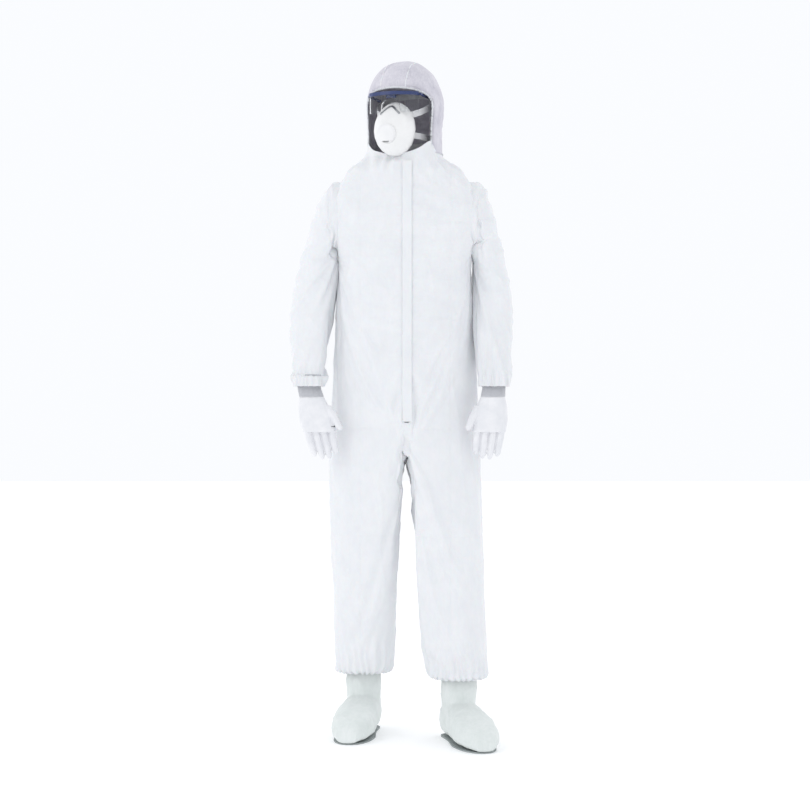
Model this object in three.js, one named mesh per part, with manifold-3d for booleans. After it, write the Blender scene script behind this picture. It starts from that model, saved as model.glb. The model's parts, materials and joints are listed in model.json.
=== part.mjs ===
// Chemical protective suit as it is worn, with no wearer inside: a hooded coverall with
// gloves, overshoes, a cup respirator and safety glasses. Millimetres, +Z up, the front
// faces -Y and the wearer's left is +X. The origin is on the floor below the neck.
import * as THREE from "three";
import { mergeVertices } from "three/addons/utils/BufferGeometryUtils.js";
import Module from "manifold-3d";

const wasm = await Module();
wasm.setup();

// ---------------------------------------------------------------- driving dimensions
const CLOTH = 3; // thickness given to the suit's cloth
const GAP = 0.4; // clearance between pieces that touch
const BIG = 4000; // half size of a cutting block

// Heights, stacked from the floor up.
const HEM_HEIGHT = 160;
const SHIN_LENGTH = 380;
const THIGH_LENGTH = 235;
const SEAT_LENGTH = 315;
const CHEST_LENGTH = 447;
const HOOD_LENGTH = 281;

// Trunk, as half widths and half depths.
const ARMHOLE_X = 185; // the two flat armholes stand at this distance from the middle
const ARMHOLE_RADIUS = 98;
const ARMHOLE_DROP = 157; // from the neck seam down to the armhole's middle
const CHEST_DEPTH = 124;
const WAIST_WIDTH = 181;
const HIP_WIDTH = 198;
const SEAT_WIDTH = 210;
const NECK_RADIUS = 100;
const NECK_Y = -8; // the neck's axis stands a little forward of the trunk's middle
const COLLAR_HEIGHT = 25;

// Zip, its flap and its puller.
const ZIP_X = 4;
const ZIP_LEAN = 20; // how much further forward the zip's foot is than its head
const ZIP_LENGTH = 695;
const ZIP_CHANNEL = 20; // width of the slot between the front panels
const SLIDER_WIDTH = 10;
const SLIDER_LENGTH = 15;
const PULLER_LENGTH = 27;
const FLAP_WIDTH = 25;
const FLAP_THICKNESS = 2.4;

// Sleeves and gloves.
const UPPER_SLEEVE_LENGTH = 250;
const FOREARM_LENGTH = 198;
const ELBOW_WIDTH = 53;
const ELBOW_DEPTH = 62;
const WRIST_RADIUS = 40;
const HAND_WIDTH = 92;
const PALM_LENGTH = 92;
const FINGER_LENGTH = 72;
const ARM = {
  left: { side: 1, spread: 0, lean: 22 },
  right: { side: -1, spread: 18, lean: 46 },
};

// Legs and overshoes. Each foot has its own distance from the middle, step and toe angle.
const LEG_X = 107;
const LEG_WIDTH = 101;
const LEG_DEPTH = 113;
const KNEE_WIDTH = 95;
const KNEE_DEPTH = 98;
const HEM_RADIUS = 64;
const FOOT_LENGTH = 305;
const FOOT_WIDTH = 118;
const SOLE_THICKNESS = 3.5;
const LEG = {
  left: { side: 1, footX: 143, step: -80, toeOut: 16 },
  right: { side: -1, footX: 112, step: 45, toeOut: 10 },
};

// Head: the hood, the respirator and the glasses, all turned with the wearer's head.
const HEAD_TURN = -18;
const HOOD_WIDTH = 102;
const HOOD_DEPTH = 122;
const NAPE_HEIGHT = 23; // the hood's folding crease above the neck seam
const FACE_EDGE_Y = -52; // the face opening's edge at the sides of the hood
const BROW_HEIGHT = 185; // above the neck seam
const GUSSET_WIDTH = 70;
const ELASTIC_WIDTH = 7;
const ELASTIC_THICKNESS = 1.5;
const MASK_WIDTH = 55;
const MASK_HEIGHT = 72;
const MASK_WALL = 2.5;
const MASK_Y = -84;
const MASK_RISE = 76; // middle of the mask's rim above the neck seam
const VALVE_RADIUS = 25;
const STRAP_WIDTH = 16;
const GLASSES_RISE = 162; // underside of the brow bar above the neck seam
const LENS_HEIGHT = 44;
const LENS_HALF_WIDTH = 68;
const BROW_BAR_HEIGHT = 9.5;
const TEMPLE_LENGTH = 98;
const TEMPLE_OFFSET = 6; // one temple folds this far behind the other

// ---------------------------------------------------------------- derived heights
const kneeZ = HEM_HEIGHT + SHIN_LENGTH;
const crotchZ = kneeZ + THIGH_LENGTH;
const waistZ = crotchZ + SEAT_LENGTH;
const neckZ = waistZ + CHEST_LENGTH;
const armholeZ = neckZ - ARMHOLE_DROP;
const collarZ = neckZ - COLLAR_HEIGHT;
const elbowZ = armholeZ - UPPER_SLEEVE_LENGTH;
const wristZ = elbowZ - FOREARM_LENGTH;
const napeZ = neckZ + NAPE_HEIGHT;
const zipTopY = NECK_Y - NECK_RADIUS;

// ---------------------------------------------------------------- materials
const material = (color, roughness, metalness = 0) =>
  new THREE.MeshStandardMaterial({ color, roughness, metalness });

const CLOTH_WHITE = () => material(0xf3f5f8, 0.85);
const HOOD_WHITE = () => material(0xe6e4ea, 0.9);
const ELASTIC_WHITE = () => material(0xe9ecf0, 0.8);
const ZIP_WHITE = () => material(0xe4e7ea, 0.5);
const KNIT_GREY = () => material(0xc9cbd0, 0.95);
const GLOVE_WHITE = () => material(0xf0f0f2, 0.6);
const OVERSHOE_WHITE = () => material(0xe4ebe6, 0.7);
const SOLE_GREY = () => material(0xb9c2bf, 0.8);
const MASK_WHITE = () => material(0xf4f4f2, 0.9);
const VALVE_WHITE = () => material(0xeeeeee, 0.45);
const FRAME_BLUE = () => material(0x16335f, 0.4);
const LENS_CLEAR = () => material(0xdfe8ee, 0.05);
const CLIP_METAL = () => material(0xa9adb3, 0.4, 0.8);

// ---------------------------------------------------------------- solid helpers
/** A closed manifold solid from any closed geometry, turned inside out if it has to be. */
function solidOf(geometry) {
  const plain = geometry.clone();
  plain.deleteAttribute("normal");
  plain.deleteAttribute("uv");
  const merged = mergeVertices(plain, 1e-4);
  const vertProperties = new Float32Array(merged.getAttribute("position").array);
  const triVerts = new Uint32Array(merged.getIndex().array);
  const build = () => new wasm.Manifold(new wasm.Mesh({ numProp: 3, vertProperties, triVerts }));
  const solid = build();
  if (solid.volume() > 0) return solid;
  for (let i = 0; i < triVerts.length; i += 3) {
    [triVerts[i + 1], triVerts[i + 2]] = [triVerts[i + 2], triVerts[i + 1]];
  }
  return build();
}

function geometryOf(solid) {
  const mesh = solid.getMesh();
  const geometry = new THREE.BufferGeometry();
  geometry.setAttribute("position", new THREE.BufferAttribute(new Float32Array(mesh.vertProperties), 3));
  geometry.setIndex(new THREE.BufferAttribute(new Uint32Array(mesh.triVerts), 1));
  geometry.computeVertexNormals();
  return geometry;
}

/** A block between two corners. */
function block(low, high) {
  const size = low.map((value, axis) => high[axis] - value);
  const box = new THREE.BoxGeometry(...size);
  box.translate(...low.map((value, axis) => (value + high[axis]) / 2));
  return solidOf(box);
}

/** A round bar along an axis ("x", "y" or "z"). */
function bar(radius, length, centre, axis = "z", sides = 16) {
  const round = new THREE.CylinderGeometry(radius, radius, length, sides);
  if (axis === "z") round.rotateX(Math.PI / 2);
  if (axis === "x") round.rotateZ(Math.PI / 2);
  round.translate(...centre);
  return solidOf(round);
}

/**
 * A loft through rings. A station holds its middle (x, y, z), its half sizes (ru, rv), the
 * roundness of its outline (power) and the angle of its plane: 0 is a level ring, 90 a ring
 * that faces +X, and "y" a ring that faces -Y.
 */
function loft(stations, sides) {
  const positions = [];
  const index = [];
  const addPoint = (point) => positions.push(point.x, point.y, point.z);
  for (const station of stations) {
    const { x = 0, y = 0, z, ru, rv, power = 2, angle = 0, side = 1 } = station;
    const turn = angle === "y" ? 0 : THREE.MathUtils.degToRad(angle);
    const u = new THREE.Vector3(Math.cos(turn) * side, 0, Math.sin(turn));
    const v = angle === "y" ? new THREE.Vector3(0, 0, 1) : new THREE.Vector3(0, 1, 0);
    for (let i = 0; i < sides; i += 1) {
      const around = (2 * Math.PI * i) / sides;
      const c = Math.cos(around);
      const s = Math.sin(around);
      const outU = Math.sign(c) * Math.abs(c) ** (2 / power) * ru;
      const outV = Math.sign(s) * Math.abs(s) ** (2 / power) * rv;
      addPoint(new THREE.Vector3(x, y, z).addScaledVector(u, outU).addScaledVector(v, outV));
    }
  }
  for (let ring = 0; ring < stations.length - 1; ring += 1) {
    for (let i = 0; i < sides; i += 1) {
      const a = ring * sides + i;
      const b = ring * sides + ((i + 1) % sides);
      index.push(a, b, b + sides, a, b + sides, a + sides);
    }
  }
  const ends = [stations[0], stations[stations.length - 1]];
  ends.forEach(({ x = 0, y = 0, z }, end) => {
    const middle = positions.length / 3;
    const start = end * (stations.length - 1) * sides;
    addPoint(new THREE.Vector3(x, y, z));
    for (let i = 0; i < sides; i += 1) {
      const a = start + i;
      const b = start + ((i + 1) % sides);
      index.push(middle, ...(end ? [a, b] : [b, a]));
    }
  });
  const geometry = new THREE.BufferGeometry();
  geometry.setAttribute("position", new THREE.Float32BufferAttribute(positions, 3));
  geometry.setIndex(index);
  return solidOf(geometry);
}

/** The same stations with every ring moved in (or out, when negative) by an amount. */
const inset = (stations, amount) =>
  stations.map((station) => ({ ...station, ru: station.ru - amount, rv: station.rv - amount }));

/** The stations with the two end rings carried past the ends, so that a hollow opens there. */
function openEnds(stations, past = [5, 5]) {
  const carried = stations.map((station) => ({ ...station }));
  const move = (from, towards, distance) => {
    const step = new THREE.Vector3(
      (from.x ?? 0) - (towards.x ?? 0), (from.y ?? 0) - (towards.y ?? 0), from.z - towards.z,
    ).setLength(distance);
    return { ...from, x: (from.x ?? 0) + step.x, y: (from.y ?? 0) + step.y, z: from.z + step.z };
  };
  const last = carried.length - 1;
  if (past[0]) carried.unshift(move(stations[0], stations[1], past[0]));
  if (past[1]) carried.push(move(stations[last], stations[last - 1], past[1]));
  return carried;
}

/** An open tube of cloth through the stations. */
const tube = (stations, wall, sides) =>
  loft(stations, sides).subtract(loft(openEnds(inset(stations, wall)), sides));

const above = (z) => block([-BIG, -BIG, z], [BIG, BIG, BIG]);
const below = (z) => block([-BIG, -BIG, -BIG], [BIG, BIG, z]);
const behind = (y) => block([-BIG, y, -BIG], [BIG, BIG, BIG]);
const before = (y) => block([-BIG, -BIG, -BIG], [BIG, y, BIG]);
const leftOf = (x) => block([x, -BIG, -BIG], [BIG, BIG, BIG]);
const rightOf = (x) => block([-BIG, -BIG, -BIG], [x, BIG, BIG]);

function addPiece(parent, name, solid, pieceMaterial) {
  const mesh = new THREE.Mesh(geometryOf(solid), pieceMaterial);
  mesh.name = name;
  parent.add(mesh);
  return mesh;
}

// ---------------------------------------------------------------- trunk
const TRUNK_SIDES = 24;

/** The trunk's outer rings, from the crotch up to the neck seam. */
function trunkStations() {
  const shoulderWidth = ARMHOLE_X + 55;
  return [
    { z: crotchZ, ru: SEAT_WIDTH, rv: CHEST_DEPTH - 2, power: 2.4 },
    { z: crotchZ + 0.22 * SEAT_LENGTH, ru: HIP_WIDTH, rv: CHEST_DEPTH + 6, power: 2.2 },
    { z: waistZ - 0.4 * SEAT_LENGTH, ru: (HIP_WIDTH + WAIST_WIDTH) / 2, rv: CHEST_DEPTH + 5, power: 2.3 },
    { z: waistZ, ru: WAIST_WIDTH, rv: CHEST_DEPTH + 2, power: 2.5 },
    { z: armholeZ - ARMHOLE_RADIUS - 20, ru: ARMHOLE_X - 2, rv: CHEST_DEPTH + 2, power: 2.6 },
    { z: armholeZ - 0.75 * ARMHOLE_RADIUS, ru: ARMHOLE_X + 30, rv: CHEST_DEPTH + 1, power: 2.7 },
    { z: armholeZ, ru: shoulderWidth, rv: CHEST_DEPTH, power: 2.8 },
    { z: armholeZ + 0.6 * ARMHOLE_RADIUS, ru: shoulderWidth, rv: CHEST_DEPTH - 8, power: 2.7, y: -2 },
    { z: armholeZ + ARMHOLE_RADIUS + 8, ru: ARMHOLE_X + 27, rv: CHEST_DEPTH - 18, power: 2.6, y: -4 },
    { z: collarZ - 4, ru: ARMHOLE_X - 9, rv: NECK_RADIUS + 2, power: 2.4, y: NECK_Y },
    { z: collarZ + 12, ru: NECK_RADIUS + 32, rv: NECK_RADIUS + 0.5, power: 2.1, y: NECK_Y },
    { z: neckZ, ru: NECK_RADIUS, rv: NECK_RADIUS, y: NECK_Y },
  ];
}

/** Everything behind the zip's leaning plane, moved in by an amount. */
function behindZipPlane(amount) {
  const half = new THREE.BoxGeometry(2 * BIG, BIG, 2 * BIG);
  half.translate(0, BIG / 2 + amount, 0);
  half.rotateX(-zipLean);
  half.translate(0, zipTopY, neckZ);
  return solidOf(half);
}
const zipLean = Math.atan2(ZIP_LEAN, ZIP_LENGTH);

/** The trunk as a filled shape, moved in from its outer surface by an amount. */
function trunkShape(amount, stations = trunkStations()) {
  const sideLimit = ARMHOLE_X - amount;
  return loft(inset(stations, amount), TRUNK_SIDES)
    .intersect(behindZipPlane(amount))
    .intersect(block([-sideLimit, -BIG, -BIG], [sideLimit, BIG, armholeZ + 2 * ARMHOLE_RADIUS])
      .add(below(armholeZ - ARMHOLE_RADIUS - 20)));
}

function trunkShell() {
  const stations = trunkStations();
  const hollow = trunkShape(CLOTH, openEnds(stations, [0, 5])).intersect(above(crotchZ + CLOTH));
  const armholes = bar(ARMHOLE_RADIUS - CLOTH - 2, 2 * ARMHOLE_X + 10, [0, 0, armholeZ], "x", 20);
  const legHoles = ["left", "right"].map((name) => {
    const top = { ...legStations(name)[0], z: crotchZ - 10 };
    const rings = inset([top, { ...top, z: crotchZ + CLOTH + 1 }], CLOTH);
    return loft(rings, LIMB_SIDES);
  });
  return trunkShape(0).subtract(hollow).subtract(armholes).subtract(legHoles[0]).subtract(legHoles[1]);
}

function buildTrunk(parent) {
  const shell = trunkShell();
  const half = GAP / 2;
  const channel = block(
    [ZIP_X - ZIP_CHANNEL / 2, -BIG, neckZ - ZIP_LENGTH], [ZIP_X + ZIP_CHANNEL / 2, NECK_Y, BIG],
  );
  const bodyPart = shell.intersect(below(collarZ - half));
  const front = bodyPart.intersect(before(-half)).subtract(channel);
  const back = bodyPart.intersect(behind(half));
  addPiece(parent, "front_panel_left", front.intersect(leftOf(ZIP_X + half)), CLOTH_WHITE());
  addPiece(parent, "front_panel_right", front.intersect(rightOf(ZIP_X - half)), CLOTH_WHITE());
  addPiece(parent, "back_panel", back.intersect(above(waistZ + half)), CLOTH_WHITE());
  addPiece(parent, "seat_panel", back.intersect(below(waistZ - half)), CLOTH_WHITE());
  addPiece(parent, "collar", shell.intersect(above(collarZ + half)).subtract(channel), CLOTH_WHITE());

  const bandThickness = 2;
  const band = trunkShape(CLOTH + GAP)
    .subtract(trunkShape(CLOTH + GAP + bandThickness))
    .intersect(block([-BIG, 15, waistZ - 24], [BIG, BIG, waistZ - 2]));
  addPiece(parent, "waist_elastic", band, ELASTIC_WHITE());
}

// ---------------------------------------------------------------- zip
/** Pieces here are drawn on the zip's own plane: the origin at its head, -Y outwards. */
function buildZip(parent) {
  const zip = new THREE.Group();
  zip.position.set(ZIP_X, zipTopY, neckZ);
  zip.rotation.x = -zipLean;
  parent.add(zip);

  const head = -(COLLAR_HEIGHT + 6);
  const foot = -(ZIP_LENGTH - 6);
  const rowWidth = 2.7;
  const tapeY = CLOTH + GAP;
  const tapeWidth = 10;
  const tapeBack = tapeY + 1;
  const chainFront = 1.6;
  const stopFront = 0.8;
  const stopLength = 5;
  for (const [name, side] of [["left", 1], ["right", -1]]) {
    const span = (from, to) => (side > 0 ? [from, to] : [-to, -from]);
    const tapeStart = GAP / 2 + rowWidth + GAP;
    const [tapeLow, tapeHigh] = span(tapeStart, tapeStart + tapeWidth);
    const [rowLow, rowHigh] = span(GAP / 2, GAP / 2 + rowWidth);
    const tape = block([tapeLow, tapeY, foot], [tapeHigh, tapeBack, head + stopLength]);
    const chain = block([rowLow, chainFront, foot], [rowHigh, tapeBack, head]);
    const topStop = block([rowLow, stopFront, head + GAP], [rowHigh, tapeBack, head + stopLength]);
    addPiece(zip, `zip_tape_${name}`, tape, ZIP_WHITE());
    addPiece(zip, `zip_chain_${name}`, chain, ZIP_WHITE());
    addPiece(zip, `zip_top_stop_${name}`, topStop, ZIP_WHITE());
  }
  const bottomStop = block([-4, stopFront, foot - stopLength], [4, tapeBack, foot - GAP]);
  addPiece(zip, "zip_bottom_stop", bottomStop, ZIP_WHITE());

  // The slider is a plate with two side lips over the chain, and a stud for its puller.
  const sliderHigh = head - 2;
  const sliderLow = sliderHigh - SLIDER_LENGTH;
  const sliderFront = -0.7;
  const studRadius = 1.3;
  const studZ = sliderLow + 5;
  const studLength = 2;
  const halfSlider = SLIDER_WIDTH / 2;
  const plate = block([-halfSlider, sliderFront, sliderLow], [halfSlider, chainFront - GAP, sliderHigh]);
  const lips = [-1, 1].map((side) => {
    const inner = side * (GAP / 2 + rowWidth + GAP);
    const outer = side * halfSlider;
    return block(
      [Math.min(inner, outer), sliderFront, sliderLow], [Math.max(inner, outer), tapeY - GAP, sliderHigh],
    );
  });
  const studMiddle = sliderFront - studLength / 2 + 0.25;
  const stud = bar(studRadius, studLength + 0.5, [0, studMiddle, studZ], "y", 12);
  addPiece(zip, "zip_slider", plate.add(lips[0]).add(lips[1]).add(stud), ZIP_WHITE());

  const pullerThickness = 1.3;
  const pullerHalf = 3.4;
  const pullerBack = sliderFront - GAP;
  const eye = bar(pullerHalf, pullerThickness, [0, pullerBack - pullerThickness / 2, studZ], "y", 16);
  const tab = block(
    [-pullerHalf, pullerBack - pullerThickness, studZ - PULLER_LENGTH], [pullerHalf, pullerBack, studZ],
  );
  const hole = bar(studRadius + GAP, 4, [0, pullerBack, studZ], "y", 12);
  addPiece(zip, "zip_puller", eye.add(tab).subtract(hole), ZIP_WHITE());

  const flapBack = sliderFront - studLength - 0.5;
  const flapSewn = 14;
  const flap = block(
    [flapSewn - FLAP_WIDTH, flapBack - FLAP_THICKNESS, -(ZIP_LENGTH + 2)], [flapSewn, flapBack, -8],
  );
  addPiece(zip, "storm_flap", flap, CLOTH_WHITE());
}

// ---------------------------------------------------------------- sleeves and gloves
const LIMB_SIDES = 14;

/** Rings of the upper sleeve: from the flat armhole, round the shoulder, down to the elbow. */
function upperSleeveStations({ spread }) {
  const drop = UPPER_SLEEVE_LENGTH / 250;
  const start = ARMHOLE_X + GAP;
  const ring = (outX, dropZ, ru, rv, angle, y = 0) => ({
    x: start + outX, y, z: armholeZ - dropZ * drop, ru, rv, angle, power: 2.1,
  });
  const elbowX = ELBOW_WIDTH + 6 + spread;
  return [
    ring(0, 0, ARMHOLE_RADIUS, ARMHOLE_RADIUS, 90),
    ring(18, 16, ARMHOLE_RADIUS + 1, ARMHOLE_RADIUS - 2, 81),
    ring(28 + 0.2 * spread, 57, ARMHOLE_RADIUS - 9, ARMHOLE_RADIUS - 10, 72, 2),
    ring(43 + 0.4 * spread, 122, 61, 80, 48, 4),
    ring(56 + 0.7 * spread, 196, ELBOW_WIDTH - 1, 68, 0, 7),
    { ...ring(elbowX, 0, ELBOW_WIDTH, ELBOW_DEPTH, 0, 8), z: elbowZ + GAP / 2 },
  ];
}

function forearmStations({ spread }) {
  const elbowX = ARMHOLE_X + GAP + ELBOW_WIDTH + 6 + spread;
  const wristX = elbowX - 9;
  const ring = (share, ru, rv, y) => ({
    x: elbowX + share * (wristX - elbowX), y, z: elbowZ - share * FOREARM_LENGTH, ru, rv, power: 2.1,
  });
  return [
    { ...ring(0, ELBOW_WIDTH, ELBOW_DEPTH, 8), z: elbowZ - GAP / 2 },
    ring(0.35, ELBOW_WIDTH - 1, ELBOW_DEPTH - 4, -16),
    ring(0.66, ELBOW_WIDTH - 5, ELBOW_DEPTH - 9, -50),
    ring(0.87, WRIST_RADIUS + 5, WRIST_RADIUS + 5, -75),
    ring(1, WRIST_RADIUS, WRIST_RADIUS - 2, -86),
  ];
}

/** The glove hangs from the wrist: a hollow palm with four fingers and a thumb. */
function gloveSolids(arm) {
  const wrist = forearmStations(arm).at(-1);
  const palmTop = wristZ - 27;
  const palmFoot = palmTop - PALM_LENGTH;
  const leanAt = (z) => (arm.lean * (wristZ - z)) / (PALM_LENGTH + FINGER_LENGTH + 27);
  const forwardAt = (z) => wrist.y - 0.2 * (wristZ - z);
  const palmRing = (z, ru, rv, inward = 0) => ({
    x: wrist.x - leanAt(z) - inward, y: forwardAt(z), z, ru, rv, power: 2.6,
  });
  const halfHand = HAND_WIDTH / 2;
  const palm = [
    palmRing(palmTop, 33, 27),
    palmRing(palmTop - 0.3 * PALM_LENGTH, halfHand - 5, 25),
    palmRing(palmTop - 0.65 * PALM_LENGTH, halfHand, 22),
    palmRing(palmFoot, halfHand - 2, 17),
  ];
  const hollow = inset(openEnds(palm, [6, 0]), 3);
  hollow.at(-1).z += 12;
  let glove = loft(palm, LIMB_SIDES);
  const fingerCount = 4;
  const fingerPitch = (HAND_WIDTH - 6) / fingerCount;
  const fingerShare = [0.8, 0.97, 1, 0.9];
  for (let finger = 0; finger < fingerCount; finger += 1) {
    const across = (finger - (fingerCount - 1) / 2) * fingerPitch;
    const length = FINGER_LENGTH * fingerShare[finger];
    const knuckle = palmFoot + 8;
    const rings = [[0, 10.2], [0.45, 9.8], [0.88, 8.4], [1, 4]].map(([share, radius]) => {
      const z = knuckle - share * (length + 8);
      const x = wrist.x - leanAt(z) + across * (1 - 0.12 * share);
      return { x, y: forwardAt(z) + 14 * share * share, z, ru: radius, rv: radius };
    });
    glove = glove.add(loft(rings, 8));
  }
  const thumb = [[0, 14], [0.4, 12], [0.85, 9.8], [1, 4.5]].map(([share, radius]) => {
    const z = palmTop - 22 - share * 66;
    const x = wrist.x - leanAt(z) - halfHand + 14 - 24 * Math.sin(share * 1.5);
    return { x, y: forwardAt(z) - 4 - 12 * share, z, ru: radius, rv: radius };
  });
  glove = glove.add(loft(thumb, 8)).subtract(loft(hollow, LIMB_SIDES));
  const cuff = [
    { ...wrist, y: wrist.y + 6, z: wristZ + 34, ru: 34, rv: 30, power: 2 },
    { ...wrist, z: wristZ - 4, ru: 31, rv: 27, power: 2 },
    { ...palmRing(palmTop + GAP, 33, 27), power: 2.6 },
  ];
  return { glove, cuff: tube(cuff, 2.5, LIMB_SIDES) };
}

function mirrorSolid(solid, side) {
  return side > 0 ? solid : solid.mirror([1, 0, 0]);
}

function buildArm(parent, name) {
  const arm = ARM[name];
  const add = (node, solid, pieceMaterial) =>
    addPiece(parent, `${node}_${name}`, mirrorSolid(solid, arm.side), pieceMaterial);
  add("upper_sleeve", tube(upperSleeveStations(arm), CLOTH, LIMB_SIDES), CLOTH_WHITE());
  const forearm = forearmStations(arm);
  add("forearm_sleeve", tube(forearm, CLOTH, LIMB_SIDES), CLOTH_WHITE());
  const cuffRing = inset(forearm.slice(-2), CLOTH + GAP);
  const elastic = tube(cuffRing, ELASTIC_THICKNESS, LIMB_SIDES).intersect(below(wristZ + 26));
  add("cuff_elastic", elastic, ELASTIC_WHITE());
  const { glove, cuff } = gloveSolids(arm);
  add("glove_cuff", cuff, KNIT_GREY());
  add("glove", glove, GLOVE_WHITE());
}

// ---------------------------------------------------------------- legs and overshoes
/** Rings of one leg from the crotch to the hem, leaning towards its foot. */
function legStations(name) {
  const { side, footX, step } = LEG[name];
  const length = THIGH_LENGTH + SHIN_LENGTH;
  const ring = (drop, ru, rv, power = 2.2) => {
    const share = drop / length;
    return {
      x: side * (LEG_X + share * (footX - LEG_X)), y: share * step, z: crotchZ - drop, ru, rv, power,
    };
  };
  return [
    ring(0, LEG_WIDTH, LEG_DEPTH, 2.4),
    ring(0.33 * THIGH_LENGTH, LEG_WIDTH, LEG_DEPTH - 5),
    ring(0.67 * THIGH_LENGTH, (LEG_WIDTH + KNEE_WIDTH) / 2, (LEG_DEPTH + KNEE_DEPTH) / 2),
    ring(THIGH_LENGTH, KNEE_WIDTH, KNEE_DEPTH),
    ring(THIGH_LENGTH + 0.38 * SHIN_LENGTH, KNEE_WIDTH - 7, KNEE_DEPTH - 6),
    ring(THIGH_LENGTH + 0.74 * SHIN_LENGTH, KNEE_WIDTH - 9, KNEE_DEPTH - 8),
    ring(THIGH_LENGTH + 0.9 * SHIN_LENGTH, KNEE_WIDTH - 15, KNEE_DEPTH - 14),
    ring(length, HEM_RADIUS, HEM_RADIUS),
  ];
}

const trimEnd = (station, dz) => ({ ...station, z: station.z + dz });

/** The foot's outline seen from above, heel to toe, wider across the ball. */
function footOutline(grow) {
  const heelY = 0.25 * FOOT_LENGTH;
  const halfWidth = FOOT_WIDTH / 2 + grow;
  const outline = new THREE.Shape();
  const ballY = heelY - 0.62 * FOOT_LENGTH;
  const toeY = heelY - FOOT_LENGTH - grow;
  const heelHalf = 0.72 * halfWidth;
  outline.moveTo(0, heelY + grow);
  outline.bezierCurveTo(heelHalf, heelY + grow, heelHalf, heelY - 30, heelHalf, heelY - 60);
  outline.bezierCurveTo(heelHalf, ballY + 60, halfWidth, ballY + 30, halfWidth, ballY);
  outline.bezierCurveTo(halfWidth, toeY + 40, 0.6 * halfWidth, toeY, 0, toeY);
  outline.bezierCurveTo(-0.6 * halfWidth, toeY, -halfWidth, toeY + 40, -halfWidth, ballY);
  outline.bezierCurveTo(-halfWidth, ballY + 30, -heelHalf, ballY + 60, -heelHalf, heelY - 60);
  outline.bezierCurveTo(-heelHalf, heelY - 30, -heelHalf, heelY + grow, 0, heelY + grow);
  return outline;
}

/** Rings that face along the foot, from the heel to the toe. */
function footStations() {
  const heelY = 0.25 * FOOT_LENGTH;
  const half = FOOT_WIDTH / 2;
  const rest = SOLE_THICKNESS + GAP;
  const ring = (share, ru, height) => ({
    y: heelY - share * FOOT_LENGTH, z: rest + height / 2, ru, rv: height / 2, angle: "y", power: 2.8,
  });
  return [
    ring(0, 24, 60),
    ring(0.05, 0.62 * half, 84),
    ring(0.2, 0.76 * half, 100),
    ring(0.42, 0.84 * half, 98),
    ring(0.64, half, 80),
    ring(0.85, 0.88 * half, 62),
    ring(0.96, 0.6 * half, 48),
    ring(1, 26, 34),
  ];
}

function buildOvershoe(parent, name, hem) {
  const { side, footX, step, toeOut } = LEG[name];
  const foot = new THREE.Group();
  foot.position.set(side * footX, step, 0);
  foot.rotation.z = THREE.MathUtils.degToRad(side * toeOut);
  parent.add(foot);

  const ankle = HEM_RADIUS - CLOTH - 12;
  const ankleStations = [
    { z: 50, y: 10, ru: 40, rv: 60 },
    { z: 95, y: 6, ru: ankle - 4, rv: ankle + 8 },
    { z: hem - 30, ru: ankle, rv: ankle },
    { z: hem + 12, ru: ankle - 2, rv: ankle - 2 },
  ];
  const footRings = footStations();
  const outer = loft(footRings, LIMB_SIDES).add(loft(ankleStations, LIMB_SIDES));
  const rest = SOLE_THICKNESS + GAP;
  const inner = loft(inset(footRings, CLOTH), LIMB_SIDES)
    .add(loft(inset(openEnds(ankleStations, [0, 5]), CLOTH), LIMB_SIDES));
  const upper = outer.subtract(inner).intersect(above(rest));
  addPiece(foot, `overshoe_upper_${name}`, upper, OVERSHOE_WHITE());

  const sole = new THREE.ExtrudeGeometry(footOutline(-6), {
    depth: SOLE_THICKNESS, bevelEnabled: false, curveSegments: 6,
  });
  addPiece(foot, `overshoe_sole_${name}`, solidOf(sole), SOLE_GREY());

  const band = inset(ankleStations.slice(-2), CLOTH + GAP);
  const elastic = tube(band, ELASTIC_THICKNESS, LIMB_SIDES).intersect(above(hem - 8));
  addPiece(foot, `overshoe_elastic_${name}`, elastic, ELASTIC_WHITE());
}

function buildLeg(parent, name) {
  const stations = legStations(name);
  const kneeIndex = 3;
  const half = GAP / 2;
  const thigh = stations.slice(0, kneeIndex + 1);
  thigh[0] = trimEnd(thigh[0], -GAP);
  thigh[kneeIndex] = trimEnd(thigh[kneeIndex], half);
  const shin = stations.slice(kneeIndex);
  shin[0] = trimEnd(shin[0], -half);
  addPiece(parent, `thigh_leg_${name}`, tube(thigh, CLOTH, LIMB_SIDES), CLOTH_WHITE());
  addPiece(parent, `shin_leg_${name}`, tube(shin, CLOTH, LIMB_SIDES), CLOTH_WHITE());
  const hem = inset(stations.slice(-2), CLOTH + GAP);
  const elastic = tube(hem, ELASTIC_THICKNESS, LIMB_SIDES).intersect(below(HEM_HEIGHT + 16));
  addPiece(parent, `ankle_elastic_${name}`, elastic, ELASTIC_WHITE());
  buildOvershoe(parent, name, HEM_HEIGHT);
}

// ---------------------------------------------------------------- hood
const HOOD_SIDES = 20;

/** Rings of the hood in the head's own frame, whose axis is the neck's. */
function hoodStations() {
  const rise = HOOD_LENGTH / 281;
  const ring = (height, ru, rv, y) => ({ z: neckZ + height * rise, ru, rv, y, power: 2.15 });
  return [
    { z: neckZ + GAP, ru: NECK_RADIUS, rv: NECK_RADIUS, y: 0 },
    ring(23, HOOD_WIDTH - 3, HOOD_DEPTH - 18, 2),
    ring(63, HOOD_WIDTH - 5, HOOD_DEPTH - 9, 6),
    ring(113, HOOD_WIDTH - 2, HOOD_DEPTH - 1, 8),
    ring(163, HOOD_WIDTH, HOOD_DEPTH, 8),
    ring(208, HOOD_WIDTH - 7, HOOD_DEPTH - 8, 9),
    ring(243, HOOD_WIDTH - 28, HOOD_DEPTH - 30, 10),
    ring(266, HOOD_WIDTH - 58, HOOD_DEPTH - 64, 10),
    ring(281, 14, 18, 10),
  ];
}

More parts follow.
